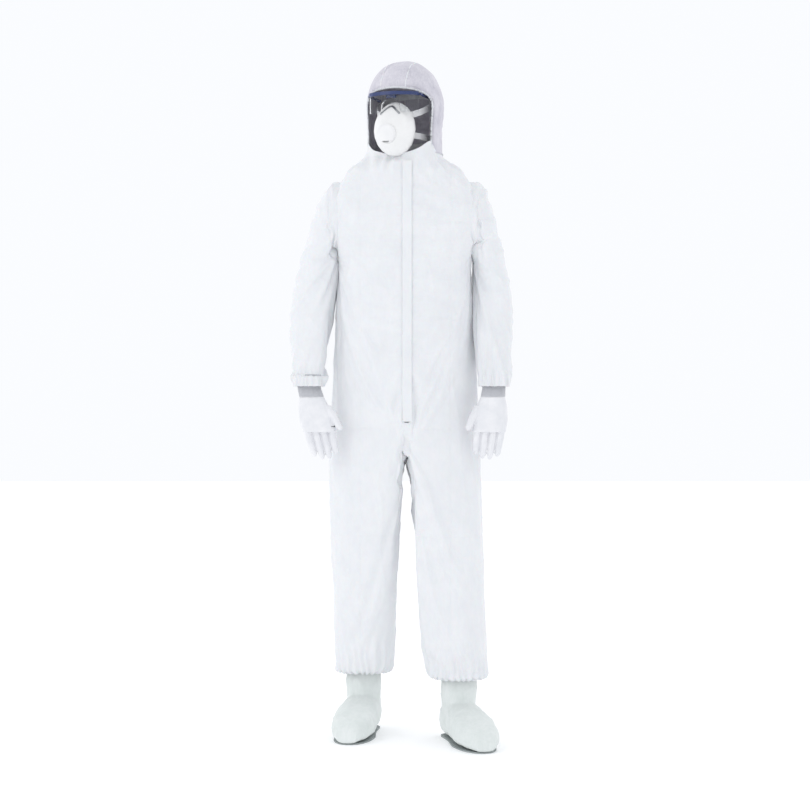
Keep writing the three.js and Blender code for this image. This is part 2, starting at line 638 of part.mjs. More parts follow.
function buildHood(parent) {
  const stations = hoodStations();
  const browZ = neckZ + BROW_HEIGHT;
  const half = GAP / 2;
  const innerStations = inset(stations, CLOTH);
  innerStations.unshift({ ...innerStations[0], z: neckZ - 5 });
  innerStations.at(-1).z -= CLOTH;
  const shell = loft(stations, HOOD_SIDES).subtract(loft(innerStations, HOOD_SIDES));

  const chinHalf = 62;
  const skirtCut = block([-chinHalf, -BIG, neckZ - 10], [chinHalf, FACE_EDGE_Y, napeZ + 10]);
  const skirt = shell.intersect(below(napeZ - half)).subtract(skirtCut);
  addPiece(parent, "hood_skirt", skirt, HOOD_WHITE());

  const hood = shell.intersect(above(napeZ + half));
  const faceCut = (edge) => before(FACE_EDGE_Y - edge).intersect(below(browZ - edge));
  const cloth = hood.subtract(faceCut(0));
  const elastic = hood.intersect(faceCut(GAP)).subtract(faceCut(ELASTIC_WIDTH));
  const halfGusset = GUSSET_WIDTH / 2;
  addPiece(parent, "hood_side_left", cloth.intersect(leftOf(halfGusset + half)), HOOD_WHITE());
  addPiece(parent, "hood_side_right", cloth.intersect(rightOf(-halfGusset - half)), HOOD_WHITE());
  const middle = block([-halfGusset + half, -BIG, -BIG], [halfGusset - half, BIG, BIG]);
  addPiece(parent, "hood_gusset", cloth.intersect(middle), HOOD_WHITE());
  addPiece(parent, "hood_elastic", elastic, ELASTIC_WHITE());
}

// ---------------------------------------------------------------- respirator
/** Rings of the cup, from its rim on the face out to the flat that carries the valve. */
function maskStations() {
  const z = neckZ + MASK_RISE;
  const ring = (forward, drop, ru, rv, power = 2) => ({
    y: MASK_Y - forward, z: z - drop, ru, rv, angle: "y", power,
  });
  return [
    ring(0, 0, MASK_WIDTH, MASK_HEIGHT),
    ring(14, 2, MASK_WIDTH - 1, MASK_HEIGHT - 3),
    ring(34, 6, MASK_WIDTH - 7, MASK_HEIGHT - 14),
    ring(54, 13, MASK_WIDTH - 18, MASK_HEIGHT - 31),
    ring(68, 20, VALVE_RADIUS + 2, VALVE_RADIUS + 3),
  ];
}

function buildMask(parent) {
  const stations = maskStations();
  const front = stations.at(-1);
  const rim = stations[0];
  const valve = [0, front.y, front.z];
  const hollow = inset(stations, MASK_WALL);
  hollow.unshift({ ...hollow[0], y: rim.y + 6 });
  hollow.at(-1).y += MASK_WALL;
  const port = bar(VALVE_RADIUS - 12, 30, valve, "y", 20);
  const shell = loft(stations, HOOD_SIDES).subtract(loft(hollow, HOOD_SIDES)).subtract(port);
  addPiece(parent, "mask_shell", shell, MASK_WHITE());

  const sealDepth = 4;
  const sealWidth = 8;
  const sealRing = [{ ...rim, y: rim.y + GAP + sealDepth }, { ...rim, y: rim.y + GAP }];
  addPiece(parent, "mask_seal", tube(sealRing, sealWidth, HOOD_SIDES), MASK_WHITE());

  const clipZ = rim.z + 46;
  const clipHeight = 6;
  const clip = loft(inset(stations, -1.4), HOOD_SIDES)
    .subtract(loft(inset(stations, -GAP), HOOD_SIDES))
    .intersect(block([-34, -BIG, clipZ], [34, rim.y - 5, clipZ + clipHeight]));
  addPiece(parent, "nose_clip", clip, CLIP_METAL());

  const seatThickness = 3;
  const seatWidth = 12;
  const turned = (profile) => {
    const points = profile.map(([radius, depth]) => new THREE.Vector2(radius, -depth));
    const round = new THREE.LatheGeometry([...points, points[0]], 24);
    return solidOf(round.translate(0, valve[1] - GAP, valve[2]));
  };
  addPiece(parent, "valve_seat", turned([
    [VALVE_RADIUS - seatWidth, 0], [VALVE_RADIUS, 0],
    [VALVE_RADIUS, seatThickness], [VALVE_RADIUS - seatWidth, seatThickness],
  ]), VALVE_WHITE());

  const coverDepth = 10.5;
  const coverWall = 1.8;
  const coverStart = seatThickness + GAP;
  const coverEnd = coverStart + coverDepth;
  const cover = turned([
    [VALVE_RADIUS - coverWall, coverStart], [VALVE_RADIUS, coverStart],
    [VALVE_RADIUS, coverEnd - 3], [VALVE_RADIUS - 4, coverEnd],
    [5, coverEnd], [5, coverEnd - coverWall],
    [VALVE_RADIUS - coverWall - 3.5, coverEnd - coverWall], [VALVE_RADIUS - coverWall, coverEnd - 4.5],
  ]);
  const crown = bar(6, coverWall, [0, valve[1] - GAP - coverEnd + coverWall / 2, valve[2]], "y", 24);
  const ventHalf = 9;
  const ventFoot = valve[2] - VALVE_RADIUS - 2;
  const vent = block(
    [-ventHalf, valve[1] - 30, ventFoot], [ventHalf, valve[1] - GAP - coverStart - 3, ventFoot + 7],
  );
  addPiece(parent, "valve_cover", cover.add(crown).subtract(vent), VALVE_WHITE());

  const flapThickness = 0.8;
  const flapY = valve[1] - GAP - seatThickness - GAP - flapThickness / 2;
  const membrane = bar(VALVE_RADIUS - 8, flapThickness, [0, flapY, valve[2]], "y", 20);
  addPiece(parent, "valve_flap", membrane, VALVE_WHITE());
}

/** Two bands round the head inside the hood, each a slice of one thin head-shaped wall. */
function buildStraps(parent) {
  const strapWall = 1.4;
  const under = 26; // the straps lie this far inside the hood's cloth
  const stations = inset(hoodStations(), under);
  const wall = loft(stations, HOOD_SIDES).subtract(loft(inset(stations, strapWall), HOOD_SIDES));
  const start = MASK_Y + GAP + 6;
  const slice = (startZ, tilt) => {
    const slab = new THREE.BoxGeometry(600, 600, STRAP_WIDTH);
    slab.translate(0, 300, 0);
    slab.rotateX(THREE.MathUtils.degToRad(tilt));
    slab.translate(0, start, startZ);
    return wall.intersect(solidOf(slab)).intersect(behind(start));
  };
  addPiece(parent, "strap_upper", slice(neckZ + 112, 24), ELASTIC_WHITE());
  addPiece(parent, "strap_lower", slice(neckZ + 62, -4), ELASTIC_WHITE());
}

// ---------------------------------------------------------------- glasses
/** A level wall that bends round the face, between two heights. */
function faceWall(offset, thickness, lowZ, highZ, halfWidth) {
  const middle = { y: MASK_Y + 24 };
  const reach = LENS_HALF_WIDTH + 15;
  const ring = (z) => ({ ...middle, z, ru: reach + offset, rv: 66 + offset });
  const rings = [ring(lowZ), ring(highZ)];
  return loft(rings, 36)
    .subtract(loft(inset(openEnds(rings), thickness), 36))
    .intersect(block([-halfWidth, -BIG, -BIG], [halfWidth, MASK_Y - 8, BIG]));
}

function buildGlasses(parent) {
  const barLow = neckZ + GLASSES_RISE;
  const barHigh = barLow + BROW_BAR_HEIGHT;
  const lensLow = barLow - GAP - LENS_HEIGHT;
  const lensThickness = 2.5;
  addPiece(parent, "brow_bar", faceWall(1.2, 5, barLow, barHigh, LENS_HALF_WIDTH + 1), FRAME_BLUE());

  const noseHalf = 24;
  const noseRise = 35;
  const nose = new THREE.Shape([
    new THREE.Vector2(-noseHalf - 4, -10), new THREE.Vector2(noseHalf + 4, -10),
    new THREE.Vector2(noseHalf, noseRise - 14),
    new THREE.Vector2(10, noseRise), new THREE.Vector2(-10, noseRise),
    new THREE.Vector2(-noseHalf, noseRise - 14),
  ]);
  const noseBlock = new THREE.ExtrudeGeometry(nose, { depth: 120, bevelEnabled: false });
  noseBlock.rotateX(Math.PI / 2).translate(0, MASK_Y, lensLow);
  const wall = faceWall(0, lensThickness, lensLow, barLow - GAP, LENS_HALF_WIDTH);
  addPiece(parent, "lens", wall.subtract(solidOf(noseBlock)), LENS_CLEAR());

  const bridgeY = MASK_Y + 24 - 66;
  addPiece(parent, "nose_bridge", block(
    [-13, bridgeY + lensThickness + 1.6, barLow - 7], [13, bridgeY + lensThickness + 8, barLow - GAP],
  ), FRAME_BLUE());

  const templeHeight = 6;
  const templeThickness = 3;
  const pinRadius = 1.1;
  const hingeX = LENS_HALF_WIDTH + 4;
  const templeLow = barLow + 0.5;
  for (const [name, side] of [["left", 1], ["right", -1]]) {
    const hingeY = MASK_Y - 6 + (side < 0 ? TEMPLE_OFFSET : 0);
    const x = side * hingeX;
    const half = templeThickness / 2;
    const templeHigh = templeLow + templeHeight;
    const knuckle = bar(3, templeHeight, [x, hingeY, templeLow + templeHeight / 2], "z", 14);
    const arm = block([x - half, hingeY, templeLow], [x + half, hingeY + TEMPLE_LENGTH, templeHigh]);
    const hole = bar(pinRadius + GAP, 3 * templeHeight, [x, hingeY, templeLow], "z", 12);
    addPiece(parent, `temple_${name}`, knuckle.add(arm).subtract(hole), FRAME_BLUE());
    const pin = bar(pinRadius, templeHeight + 3, [x, hingeY, templeLow + templeHeight / 2], "z", 12);
    addPiece(parent, `temple_pin_${name}`, pin, CLIP_METAL());
  }
}

// ---------------------------------------------------------------- assembly
const suit = new THREE.Group();
suit.name = "protective_suit";
buildTrunk(suit);
buildZip(suit);
for (const name of ["left", "right"]) {
  buildArm(suit, name);
  buildLeg(suit, name);
}

const head = new THREE.Group();
head.position.set(0, NECK_Y, 0);
head.rotation.z = THREE.MathUtils.degToRad(HEAD_TURN);
suit.add(head);
buildHood(head);
buildMask(head);
buildStraps(head);
buildGlasses(head);

export default suit;
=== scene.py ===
"""Chemical protective suit: the looks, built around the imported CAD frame. Metres, +Z up, the front
faces -Y and the wearer's left is +X."""

import json
import math

import bmesh
import bpy
import numpy as np
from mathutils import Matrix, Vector, noise
from mathutils.bvhtree import BVHTree


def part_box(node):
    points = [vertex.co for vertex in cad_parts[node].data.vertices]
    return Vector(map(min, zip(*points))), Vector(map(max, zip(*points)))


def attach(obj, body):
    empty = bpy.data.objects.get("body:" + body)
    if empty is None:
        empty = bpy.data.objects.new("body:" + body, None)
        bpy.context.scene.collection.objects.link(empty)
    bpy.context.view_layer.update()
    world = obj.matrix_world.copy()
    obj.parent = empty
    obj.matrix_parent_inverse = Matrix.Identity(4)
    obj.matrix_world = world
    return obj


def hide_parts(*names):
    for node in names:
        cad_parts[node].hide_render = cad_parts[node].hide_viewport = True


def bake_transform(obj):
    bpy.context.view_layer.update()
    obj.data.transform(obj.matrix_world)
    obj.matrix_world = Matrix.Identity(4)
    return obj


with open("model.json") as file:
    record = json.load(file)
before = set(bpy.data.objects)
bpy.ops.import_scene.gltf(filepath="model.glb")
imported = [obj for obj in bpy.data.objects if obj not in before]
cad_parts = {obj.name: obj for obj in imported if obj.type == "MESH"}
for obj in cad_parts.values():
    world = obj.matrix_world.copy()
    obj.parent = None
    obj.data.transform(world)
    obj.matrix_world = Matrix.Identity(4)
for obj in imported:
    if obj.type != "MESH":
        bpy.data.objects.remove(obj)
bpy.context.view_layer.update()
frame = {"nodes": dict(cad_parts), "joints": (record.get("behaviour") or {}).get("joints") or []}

NODES = frame["nodes"]
SIDES = {"left": 1.0, "right": -1.0}
UP = np.array((0.0, 0.0, 1.0))
ACROSS = np.array((1.0, 0.0, 0.0))
BACK = np.array((0.0, 1.0, 0.0))

# ---------------------------------------------------------------- sizes, in metres
ROW = 0.010  # height of one row of the cloth's mesh
TRUNK_COLUMNS = 144
CROTCH_COLUMNS = 18
SLEEVE_COLUMNS = 72
HOOD_COLUMNS = 96
HOOD_ROWS = 56
SLOT_HALF = 0.0095  # half the slot in the cloth under the zip's flap
CLOTH_ROOM = 0.014  # how far the stand-in for the wearer lies inside the cloth
CLOTH_CAP = 0.020  # the most a point of the cloth may move in the simulation
CLOTH_FRAMES = 26
NECK_ROWS = 10
LEG_JOIN_ROWS = 22  # rows over which the trunk's shape becomes the leg's
HIP_ROWS = 14  # lowest rows of the trunk, evened out together with the legs
THIGH_GAP = 0.004
SHOULDER_CAP = 0.009  # how much the cloth stands up on top of the shoulder
HOOD_EDGE = 0.050  # how far in front of the head's middle the hood's cloth ends
ELASTIC_BAND = 0.007
GUSSET_HALF = 0.035


# ---------------------------------------------------------------- meshes
def points_of(name):
    return np.array([v.co for v in NODES[name].data.vertices], float).reshape(-1, 3)


def triangles(*names):
    """Corners of every triangle of these CAD nodes, as one array."""
    found = []
    for name in names:
        mesh = NODES[name].data
        mesh.calc_loop_triangles()
        corners = np.array([t.vertices[:] for t in mesh.loop_triangles])
        found.append(points_of(name)[corners])
    return np.concatenate(found)


def cut(tris, origin, normal):
    """The segments in which a plane cuts the triangles."""
    height = (tris - origin) @ normal
    crossed = (height.max(1) > 0) & (height.min(1) < 0)
    corners, height = tris[crossed], height[crossed]
    ends = []
    for corner in range(len(corners)):
        found = []
        for a, b in ((0, 1), (1, 2), (2, 0)):
            ha, hb = height[corner, a], height[corner, b]
            if ha * hb < 0:
                found.append(corners[corner, a] + (corners[corner, b] - corners[corner, a]) * ha / (ha - hb))
        if len(found) == 2:
            ends.append(found)
    return np.array(ends).reshape(-1, 2, 3)


def tree_of(tris):
    """A search tree over triangles given by their corners."""
    corners = [Vector(c) for tri in tris for c in tri]
    return BVHTree.FromPolygons(corners, [(3 * k, 3 * k + 1, 3 * k + 2) for k in range(len(tris))])


def outline(tris, origin, across, up, angles, blind=None, centre=True):
    """The outermost points of the cut in these directions, seen from origin; holes are bridged straight."""
    segments = cut(tris, origin, np.cross(across, up))
    flat = np.stack([(segments - origin) @ across, (segments - origin) @ up], -1)
    middle = (flat.reshape(-1, 2).min(0) + flat.reshape(-1, 2).max(0)) / 2 if centre else np.zeros(2)
    flat = flat - middle
    found = np.full((len(angles), 2), np.nan)
    for i, angle in enumerate(angles):
        ray = np.array((math.cos(angle), math.sin(angle)))
        side = flat[:, :, 1] * ray[0] - flat[:, :, 0] * ray[1]
        spread = side[:, 0] - side[:, 1]
        hit = (side[:, 0] * side[:, 1] <= 0) & (np.abs(spread) > 1e-12)
        share = side[hit, 0] / spread[hit]
        reach = (flat[hit, 0] + (flat[hit, 1] - flat[hit, 0]) * share[:, None]) @ ray
        reach = reach[reach > 0.004]
        if len(reach):
            found[i] = reach.max() * ray
    if blind is not None:
        world = origin + (found + middle) @ np.stack([across, up])
        found[blind(world)] = np.nan
    return bridge(found) + middle


def bridge(ring):
    """Fills the missing points of a closed ring along straight lines."""
    count = len(ring)
    good = np.flatnonzero(~np.isnan(ring[:, 0]))
    steps = np.arange(count)
    wrapped = np.concatenate([good - count, good, good + count])
    return np.stack([np.interp(steps, wrapped, np.tile(ring[good, k], 3)) for k in range(2)], -1)


def smooth_ring(ring, times):
    for _ in range(times):
        ring = ring * 0.5 + (np.roll(ring, 1, 0) + np.roll(ring, -1, 0)) * 0.25
    return ring


def spaced(line, count):
    """count points at even spacing along a line of points."""
    steps = np.linalg.norm(np.diff(line, axis=0), axis=1)
    along = np.concatenate([[0], np.cumsum(steps)])
    wanted = np.linspace(0, along[-1], count)
    return np.stack([np.interp(wanted, along, line[:, k]) for k in range(line.shape[1])], -1)


def smooth_rows(rings, times):
    """Evens out a stack of rings from row to row; the first and last row stay."""
    rings = np.array(rings)
    for _ in range(times):
        rings[1:-1] = rings[1:-1] * 0.5 + (rings[:-2] + rings[2:]) * 0.25
    return rings


def lattice(rows, columns, closed, first=0):
    """Faces of a grid whose points run row by row."""
    faces = []
    last = columns if closed else columns - 1
    for r in range(rows - 1):
        for c in range(last):
            d = (c + 1) % columns
            low = first + r * columns
            faces.append((low + c, low + columns + c, low + columns + d, low + d))
    return faces


def new_object(name, points, faces, smooth=True):
    mesh = bpy.data.meshes.new(name)
    mesh.from_pydata([tuple(p) for p in points], [], [tuple(f) for f in faces])
    mesh.update()
    mesh.validate()
    if smooth:
        mesh.polygons.foreach_set("use_smooth", [True] * len(mesh.polygons))
    made = bpy.data.objects.new(name, mesh)
    bpy.context.scene.collection.objects.link(made)
    return made


def get_points(made):
    flat = np.zeros(len(made.data.vertices) * 3)
    made.data.vertices.foreach_get("co", flat)
    return flat.reshape(-1, 3)


def set_points(made, points):
    made.data.vertices.foreach_set("co", np.asarray(points, float).ravel())
    made.data.update()


def get_normals(made):
    flat = np.zeros(len(made.data.vertices) * 3)
    made.data.vertices.foreach_get("normal", flat)
    return flat.reshape(-1, 3)


def bake(made):
    """Replaces the object's mesh by what its modifiers make of it."""
    graph = bpy.context.evaluated_depsgraph_get()
    graph.update()
    mesh = bpy.data.meshes.new_from_object(made.evaluated_get(graph))
    made.modifiers.clear()
    made.data = mesh
    return made


def modify(made, kind, **settings):
    """Adds one modifier with these settings and keeps its result."""
    modifier = made.modifiers.new(kind.lower(), kind)
    for key, value in settings.items():
        setattr(modifier, key, value)
    return bake(made)


def subdivide(made, levels):
    return modify(made, "SUBSURF", levels=levels, render_levels=levels, boundary_smooth="PRESERVE_CORNERS")


def relax(made, factor, times):
    return modify(made, "SMOOTH", factor=factor, iterations=times)


def remesh(made, voxel):
    return modify(made, "REMESH", mode="VOXEL", voxel_size=voxel)


def thicken(made, thickness, offset=-1.0):
    return modify(made, "SOLIDIFY", thickness=thickness, offset=offset)


def round_edges(made, width, segments=2):
    return modify(
        made, "BEVEL", width=width, segments=segments, limit_method="ANGLE", angle_limit=math.radians(35)
    )


def ease(t):
    t = np.clip(t, 0, 1)
    return t * t * (3 - 2 * t)


def waves(points, size, seed, stretch=(1, 1, 1)):
    """Smooth noise from -1 to 1 at each point; size is its wavelength in metres."""
    scale = np.array(stretch) / size
    shift = np.array((17.3, -5.1, 9.7)) * (seed + 1)
    return np.array([noise.noise(Vector(p * scale + shift)) for p in points])


def creases(points, size, seed, stretch=(1, 1, 1)):
    """Thin ridges, 1 on the ridge line and falling to 0 beside it."""
    soft = np.abs(waves(points, size, seed, stretch))
    return np.clip(1 - soft * 6, 0, 1) ** 2


def swell(made, amounts):
    set_points(made, get_points(made) + get_normals(made) * np.asarray(amounts)[:, None])


# ---------------------------------------------------------------- materials
def shader(name):
    made = bpy.data.materials.new(name)
    made.use_nodes = True
    tree = made.node_tree
    return made, tree, tree.nodes["Principled BSDF"], tree.nodes.new("ShaderNodeTexCoord").outputs["Object"]


def mapped(tree, source, scale, turn=(0, 0, 0)):
    node = tree.nodes.new("ShaderNodeMapping")
    node.inputs["Scale"].default_value = scale
    node.inputs["Rotation"].default_value = turn
    tree.links.new(source, node.inputs["Vector"])
    return node.outputs["Vector"]


def noise_of(tree, source, scale, detail=3.0, rough=0.55):
    node = tree.nodes.new("ShaderNodeTexNoise")
    node.inputs["Scale"].default_value = scale
    node.inputs["Detail"].default_value = detail
    node.inputs["Roughness"].default_value = rough
    tree.links.new(source, node.inputs["Vector"])
    return node.outputs["Fac"]


def cells_of(tree, source, scale, feature="F1", random=1.0):
    node = tree.nodes.new("ShaderNodeTexVoronoi")
    node.feature = feature
    node.inputs["Scale"].default_value = scale
    node.inputs["Randomness"].default_value = random
    tree.links.new(source, node.inputs["Vector"])
    return node.outputs["Distance"]


def bands_of(tree, source, scale, direction="Z", distortion=0.0):
    node = tree.nodes.new("ShaderNodeTexWave")
    node.bands_direction = direction
    node.inputs["Scale"].default_value = scale
    node.inputs["Distortion"].default_value = distortion
    tree.links.new(source, node.inputs["Vector"])
    return node.outputs["Fac"]


def ranged(tree, source, low, high, to_low, to_high):
    node = tree.nodes.new("ShaderNodeMapRange")
    for key, value in (("From Min", low), ("From Max", high), ("To Min", to_low), ("To Max", to_high)):
        node.inputs[key].default_value = value
    tree.links.new(source, node.inputs["Value"])
    return node.outputs["Result"]


def sum_of(tree, *sources):
    total = sources[0]
    for source in sources[1:]:
        node = tree.nodes.new("ShaderNodeMath")
        node.operation = "ADD"
        tree.links.new(total, node.inputs[0])
        tree.links.new(source, node.inputs[1])
        total = node.outputs[0]
    return total


def tint(tree, factor, dark, light):
    node = tree.nodes.new("ShaderNodeValToRGB")
    node.color_ramp.elements[0].color = (*dark, 1)
    node.color_ramp.elements[1].color = (*light, 1)
    tree.links.new(factor, node.inputs["Fac"])
    return node.outputs["Color"]


def feed(tree, target, socket, source):
    tree.links.new(source, target.inputs[socket])


def raise_by(tree, target, height, distance, strength=1.0):
    node = tree.nodes.new("ShaderNodeBump")
    node.inputs["Strength"].default_value = strength
    node.inputs["Distance"].default_value = distance
    tree.links.new(height, node.inputs["Height"])
    tree.links.new(node.outputs["Normal"], target.inputs["Normal"])


def nonwoven(name, light, dark, emboss, fibre, rough=0.72, sheen=0.15, glow=0.0):
    """Bonded fibres: a fine embossed dot pattern, cloudy thickness and faint fibres."""
    made, tree, target, where = shader(name)
    dots = cells_of(tree, mapped(tree, where, (1, 1, 1), (0.4, 0.3, 0.75)), emboss, random=0.12)
    cloud = noise_of(tree, where, 16, 4)
    fibres = noise_of(tree, mapped(tree, where, (1, 1, 0.35)), fibre, 5, 0.7)
    shade = sum_of(tree, ranged(tree, cloud, 0.3, 0.7, 0, 0.6), ranged(tree, fibres, 0.35, 0.65, 0, 0.4))
    feed(tree, target, "Base Color", tint(tree, shade, dark, light))
    height = sum_of(tree, ranged(tree, dots, 0.05, 0.35, 0, 0.5), ranged(tree, fibres, 0.3, 0.7, 0, 0.5))
    raise_by(tree, target, height, 0.00025, 0.6)
    feed(tree, target, "Roughness", ranged(tree, fibres, 0.2, 0.8, rough - 0.08, rough + 0.08))
    target.inputs["Sheen Weight"].default_value = sheen
    target.inputs["Specular IOR Level"].default_value = 0.3
    target.inputs["Subsurface Weight"].default_value = glow
    target.inputs["Subsurface Scale"].default_value = 0.004
    return made


def ribbed(name, light, dark, rib, direction, rough=0.8, depth=0.0004):
    """Elastic or woven band: ribs one way, fine threads between them."""
    made, tree, target, where = shader(name)
    ribs = bands_of(tree, where, rib, direction)
    threads = noise_of(tree, where, 900, 2)
    # Painted shade: the colour darkens in the grooves between the ribs, following the same height as the bump; the
    # threads' fine mottling is the band's own tone.
    shade = sum_of(tree, ranged(tree, ribs, 0, 1, 0, 0.7), ranged(tree, threads, 0.3, 0.7, 0, 0.3))
    feed(tree, target, "Base Color", tint(tree, shade, dark, light))
    raise_by(tree, target, shade, depth)
    feed(tree, target, "Roughness", ranged(tree, threads, 0.2, 0.8, rough - 0.06, rough + 0.06))
    target.inputs["Sheen Weight"].default_value = 0.2
    return made


def plastic(name, light, dark, rough, grain=260, bump=0.00008, coat=0.0):
    """Moulded plastic: faint cloudiness, a fine grain and handling marks in the gloss."""
    made, tree, target, where = shader(name)
    cloud = noise_of(tree, where, 30, 4)
    fine = noise_of(tree, where, grain, 3)
    feed(tree, target, "Base Color", tint(tree, ranged(tree, cloud, 0.3, 0.7, 0, 1), dark, light))
    marks = ranged(tree, sum_of(tree, cloud, fine), 0.6, 1.4, rough - 0.07, rough + 0.09)
    feed(tree, target, "Roughness", marks)
    raise_by(tree, target, fine, bump)
    target.inputs["Coat Weight"].default_value = coat
    return made


def knitted(name, light, dark, scale):
    """Fine knit: columns of loops, with fuzz."""
    made, tree, target, where = shader(name)
    columns = bands_of(tree, where, scale, "DIAGONAL", 0.4)
    rows = bands_of(tree, where, scale * 1.3, "Z", 0.3)
    fuzz = noise_of(tree, where, 700, 3)
    loops = sum_of(
        tree,
        ranged(tree, columns, 0, 1, 0, 0.4),
        ranged(tree, rows, 0, 1, 0, 0.4),
        ranged(tree, fuzz, 0, 1, 0, 0.2),
    )
    # The yarn's own tone is grey; its darker dips follow the loops' bump height and are painted shade between the
    # loops.
    feed(tree, target, "Base Color", tint(tree, loops, dark, light))
    raise_by(tree, target, loops, 0.0006)
    feed(tree, target, "Roughness", ranged(tree, fuzz, 0.2, 0.8, 0.85, 0.98))
    target.inputs["Sheen Weight"].default_value = 0.3
    return made


def glassy(name, color, rough):
    made, tree, target, where = shader(name)
    smear = noise_of(tree, where, 22, 3)
    feed(tree, target, "Roughness", ranged(tree, smear, 0.4, 0.7, rough, rough + 0.05))
    feed(tree, target, "Base Color", tint(tree, smear, tuple(c * 0.97 for c in color), color))
    target.inputs["Transmission Weight"].default_value = 1.0
    target.inputs["IOR"].default_value = 1.2
    return made


CLOTH = nonwoven("coverall_nonwoven", (0.82, 0.83, 0.845), (0.76, 0.775, 0.80), 420, 90, glow=0.06)
# Painted shade: the hood's grey-lavender colour and darker speckles stand for the dark inside showing through thin
# white cloth; the cloth itself is white.
HOOD = nonwoven("hood_nonwoven_painted_shade", (0.76, 0.74, 0.79), (0.50, 0.49, 0.56), 300, 260, 0.85, 0.2)
OVERSHOE = nonwoven("overshoe_nonwoven", (0.80, 0.83, 0.82), (0.68, 0.73, 0.71), 260, 120, 0.6, 0.1)
FELT = nonwoven("mask_felt", (0.90, 0.90, 0.89), (0.82, 0.82, 0.82), 900, 600, 0.9, 0.3)
SOLE = plastic("sole_film", (0.36, 0.39, 0.39), (0.25, 0.28, 0.28), 0.62, 420, 0.0003)
ELASTIC = ribbed("white_elastic", (0.88, 0.89, 0.91), (0.66, 0.68, 0.72), 190, "Z")
STRAP = ribbed("mask_strap", (0.90, 0.90, 0.90), (0.70, 0.71, 0.73), 260, "Z")
ZIP_TAPE = ribbed("zip_tape", (0.85, 0.86, 0.88), (0.68, 0.69, 0.72), 320, "X", depth=0.0002)
ZIP_COIL = plastic("zip_coil", (0.86, 0.87, 0.89), (0.74, 0.75, 0.78), 0.36)
KNIT = knitted("glove_knit", (0.66, 0.67, 0.70), (0.42, 0.43, 0.47), 210)
COATING = plastic("glove_coating", (0.84, 0.84, 0.86), (0.74, 0.75, 0.78), 0.48, 500, 0.0003)
VALVE = plastic("valve_plastic", (0.86, 0.86, 0.86), (0.80, 0.80, 0.81), 0.38)
MEMBRANE = plastic("valve_rubber", (0.80, 0.79, 0.74), (0.70, 0.69, 0.65), 0.55)
BLUE = plastic("frame_blue", (0.018, 0.040, 0.16), (0.012, 0.028, 0.11), 0.30, 300, 0.00005, 0.3)
LENS = glassy("lens_clear", (0.97, 0.985, 0.99), 0.02)
METAL = plastic("clip_metal", (0.50, 0.51, 0.53), (0.38, 0.39, 0.41), 0.34)
METAL.node_tree.nodes["Principled BSDF"].inputs["Metallic"].default_value = 1.0


def paint(made, *materials):
    made.data.materials.clear()
    for item in materials:
        made.data.materials.append(item)
    return made


# ---------------------------------------------------------------- the zip's line
FLAP_LOW, FLAP_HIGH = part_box("storm_flap")
SLOT_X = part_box("zip_chain_left")[0].x
SLOT_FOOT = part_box("zip_bottom_stop")[0].z
FLAP_THICKNESS = 0.0024
ZIP_SLOPE = (FLAP_HIGH.y - FLAP_LOW.y - FLAP_THICKNESS) / (FLAP_HIGH.z - FLAP_LOW.z)


def flap_back(z):
    """How far forward the back of the closed flap stands at a height."""
    return FLAP_HIGH.y + (z - FLAP_HIGH.z) * ZIP_SLOPE


# ---------------------------------------------------------------- the head's own axes
SKIRT_LOW, SKIRT_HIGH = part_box("hood_skirt")
FOLD = next(joint for joint in frame["joints"] if joint["name"] == "hood_fold")
HEAD_X = -np.array(FOLD["axis"], float)
HEAD_Y = np.cross(UP, HEAD_X)
HEAD_ORIGIN = np.array((0.0, (SKIRT_LOW.y + SKIRT_HIGH.y) / 2, SKIRT_HIGH.z))
BROW_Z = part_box("hood_elastic")[1].z


def bearing(points):
    """Degrees from the head's front, towards the wearer's left, at each point."""
    away = points - HEAD_ORIGIN
    return np.degrees(np.arctan2(away @ HEAD_X, -(away @ HEAD_Y)))


# ---------------------------------------------------------------- the coverall's cloth
TRUNK_NODES = ("front_panel_left", "front_panel_right", "back_panel", "seat_panel", "collar")
COLLAR_LOW, COLLAR_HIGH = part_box("collar")
SEAT_LOW, SEAT_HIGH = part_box("seat_panel")
ANGLES = np.linspace(0, 2 * math.pi, 361)[:-1]


def near_slot(world):
    return (np.abs(world[:, 0] - SLOT_X) < 0.013) & (world[:, 1] < 0)


def trunk_ring(tris, z):
    """One row of the trunk: from the front middle round the wearer's left side and back again."""
    origin = np.array((0.0, -0.004, z))
    ring = outline(tris, origin, ACROSS, BACK, ANGLES - math.pi / 2, near_slot, centre=False)
    ring = smooth_ring(ring, 3) + origin[:2]
    half = TRUNK_COLUMNS // 2
    order = np.arange(len(ring))
    left = ring[(order <= 180)]
    right = ring[(order >= 180)]
    start = np.array((SLOT_X + SLOT_HALF, 0))
    finish = np.array((SLOT_X - SLOT_HALF, 0))
    start[1] = np.interp(start[0], ring[:20, 0], ring[:20, 1])
    finish[1] = start[1]
    left = left[(left[:, 0] > start[0] + 0.004) | (left[:, 1] > 0)]
    right = right[(right[:, 0] < finish[0] - 0.004) | (right[:, 1] > 0)]
    left = spaced(np.concatenate([[start], left]), half)
    right = spaced(np.concatenate([right, [finish]]), half)
    middle = np.array([[SLOT_X, start[1]]])
    flat = np.concatenate([middle, left, right[1:]])
    return np.column_stack([flat, np.full(len(flat), z)])


